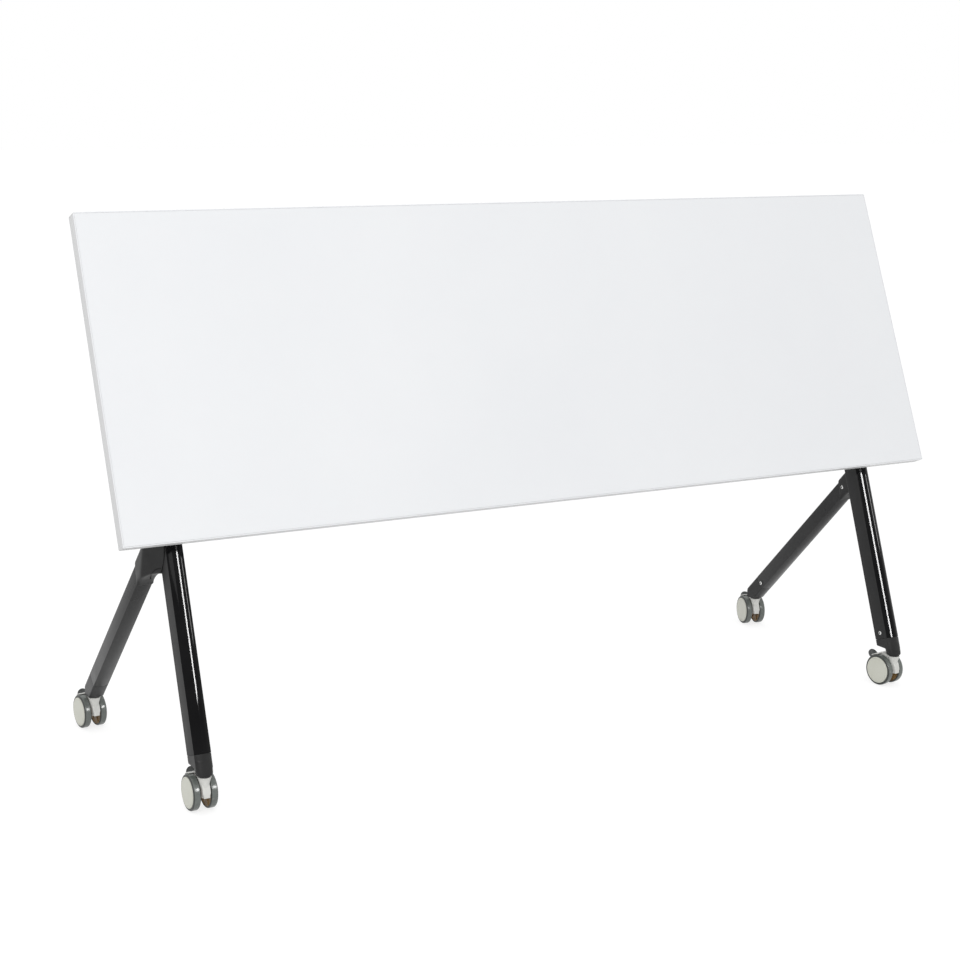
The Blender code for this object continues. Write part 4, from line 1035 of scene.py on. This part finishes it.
def buildFloor():
    dropPick()
    bpy.ops.mesh.primitive_plane_add(size=studio["floorSize"])
    floor = bpy.context.object
    floor.name = "floor"
    mat = bpy.data.materials.new("paleFloor")
    mat.use_nodes = True
    tree = mat.node_tree
    tree.nodes.remove(tree.nodes["Principled BSDF"])
    seen = tree.nodes.new("ShaderNodeBsdfDiffuse")
    seen.inputs["Color"].default_value = greyOf(studio["floorTone"])
    glow = tree.nodes.new("ShaderNodeEmission")
    glow.inputs["Strength"].default_value = studio["floorGlow"]
    both = tree.nodes.new("ShaderNodeAddShader")
    bounce = tree.nodes.new("ShaderNodeBsdfDiffuse")
    bounce.inputs["Color"].default_value = greyOf(studio["floorBounce"])
    mix = tree.nodes.new("ShaderNodeMixShader")
    tree.links.new(seen.outputs[0], both.inputs[0])
    tree.links.new(glow.outputs[0], both.inputs[1])
    tree.links.new(rayMask(tree), mix.inputs["Fac"])
    tree.links.new(bounce.outputs[0], mix.inputs[1])
    tree.links.new(both.outputs[0], mix.inputs[2])
    tree.links.new(mix.outputs[0], tree.nodes["Material Output"].inputs["Surface"])
    wear(floor, mat)


def buildWorld():
    world = bpy.data.worlds.new("studioWorld")
    bpy.context.scene.world = world
    world.use_nodes = True
    tree = world.node_tree
    light = tree.nodes["Background"]
    light.inputs["Strength"].default_value = studio["worldLevel"]
    white = tree.nodes.new("ShaderNodeBackground")
    white.inputs["Strength"].default_value = 1.0
    for node in (light, white):
        node.inputs["Color"].default_value = greyOf(1.0)
    mix = tree.nodes.new("ShaderNodeMixShader")
    tree.links.new(rayMask(tree), mix.inputs["Fac"])
    tree.links.new(light.outputs[0], mix.inputs[1])
    tree.links.new(white.outputs[0], mix.inputs[2])
    tree.links.new(mix.outputs[0], tree.nodes["World Output"].inputs["Surface"])


def addLamp(name):
    lamp = lamps[name]
    data = bpy.data.lights.new(name, "AREA")
    data.shape = "RECTANGLE"
    data.size, data.size_y = lamp["size"]
    data.energy = lamp["power"]
    obj = bpy.data.objects.new(name, data)
    bpy.context.scene.collection.objects.link(obj)
    away = (Vector(lamp["place"]) - Vector(lamp["aim"])).normalized()
    across = Vector((0, 0, 1)).cross(away).normalized()
    turn = Matrix((across, away.cross(across), away)).transposed().to_4x4()
    obj.matrix_world = Matrix.Translation(lamp["place"]) @ turn
    obj.visible_camera = False
    return obj


def buildLamps():
    lit = {}
    for group, pieces in glossPieces.items():
        lit[group] = bpy.data.collections.new(group + "Gloss")
        for obj in pieces:
            lit[group].objects.link(obj)
    for name in lamps:
        lamp = addLamp(name)
        group = lamps[name].get("on")
        if group is None:
            continue
        lamp.visible_diffuse = False  # it lifts no colour
        lamp.light_linking.receiver_collection = lit[group]
        if group != "treads":  # the line runs on up to the top's edge
            lamp.light_linking.blocker_collection = lit["legs"]


buildFloor()
buildWorld()
buildLamps()

# camera at the photograph's angle, for a 960 x 960 image
view = {"focal": 1905.09, "place": (-1.9579, -3.2239, 1.2532), "yaw": 29.134, "pitch": 10.403, "roll": 0.675,
        "centre": (443.65, 433.13), "image": 960, "sensor": 36.0}


def buildCamera():
    yaw, pitch, roll = (math.radians(view[k]) for k in ("yaw", "pitch", "roll"))
    ahead = Vector((math.sin(yaw) * math.cos(pitch), math.cos(yaw) * math.cos(pitch), -math.sin(pitch)))
    right = Vector((math.cos(yaw), -math.sin(yaw), 0.0))
    up = right.cross(ahead)
    across = math.cos(roll) * right + math.sin(roll) * up
    upward = math.cos(roll) * up - math.sin(roll) * right
    data = bpy.data.cameras.new("camera")
    data.sensor_width = view["sensor"]
    data.lens = view["sensor"] * view["focal"] / view["image"]
    data.shift_x = 0.5 - view["centre"][0] / view["image"]
    data.shift_y = view["centre"][1] / view["image"] - 0.5
    obj = bpy.data.objects.new("camera", data)
    bpy.context.scene.collection.objects.link(obj)
    turn = Matrix((across, upward, -ahead)).transposed().to_4x4()
    obj.matrix_world = Matrix.Translation(view["place"]) @ turn
    bpy.context.scene.camera = obj


buildCamera()
bpy.context.scene.view_settings.view_transform = "Standard"
print("studio and camera set")

dropPick()
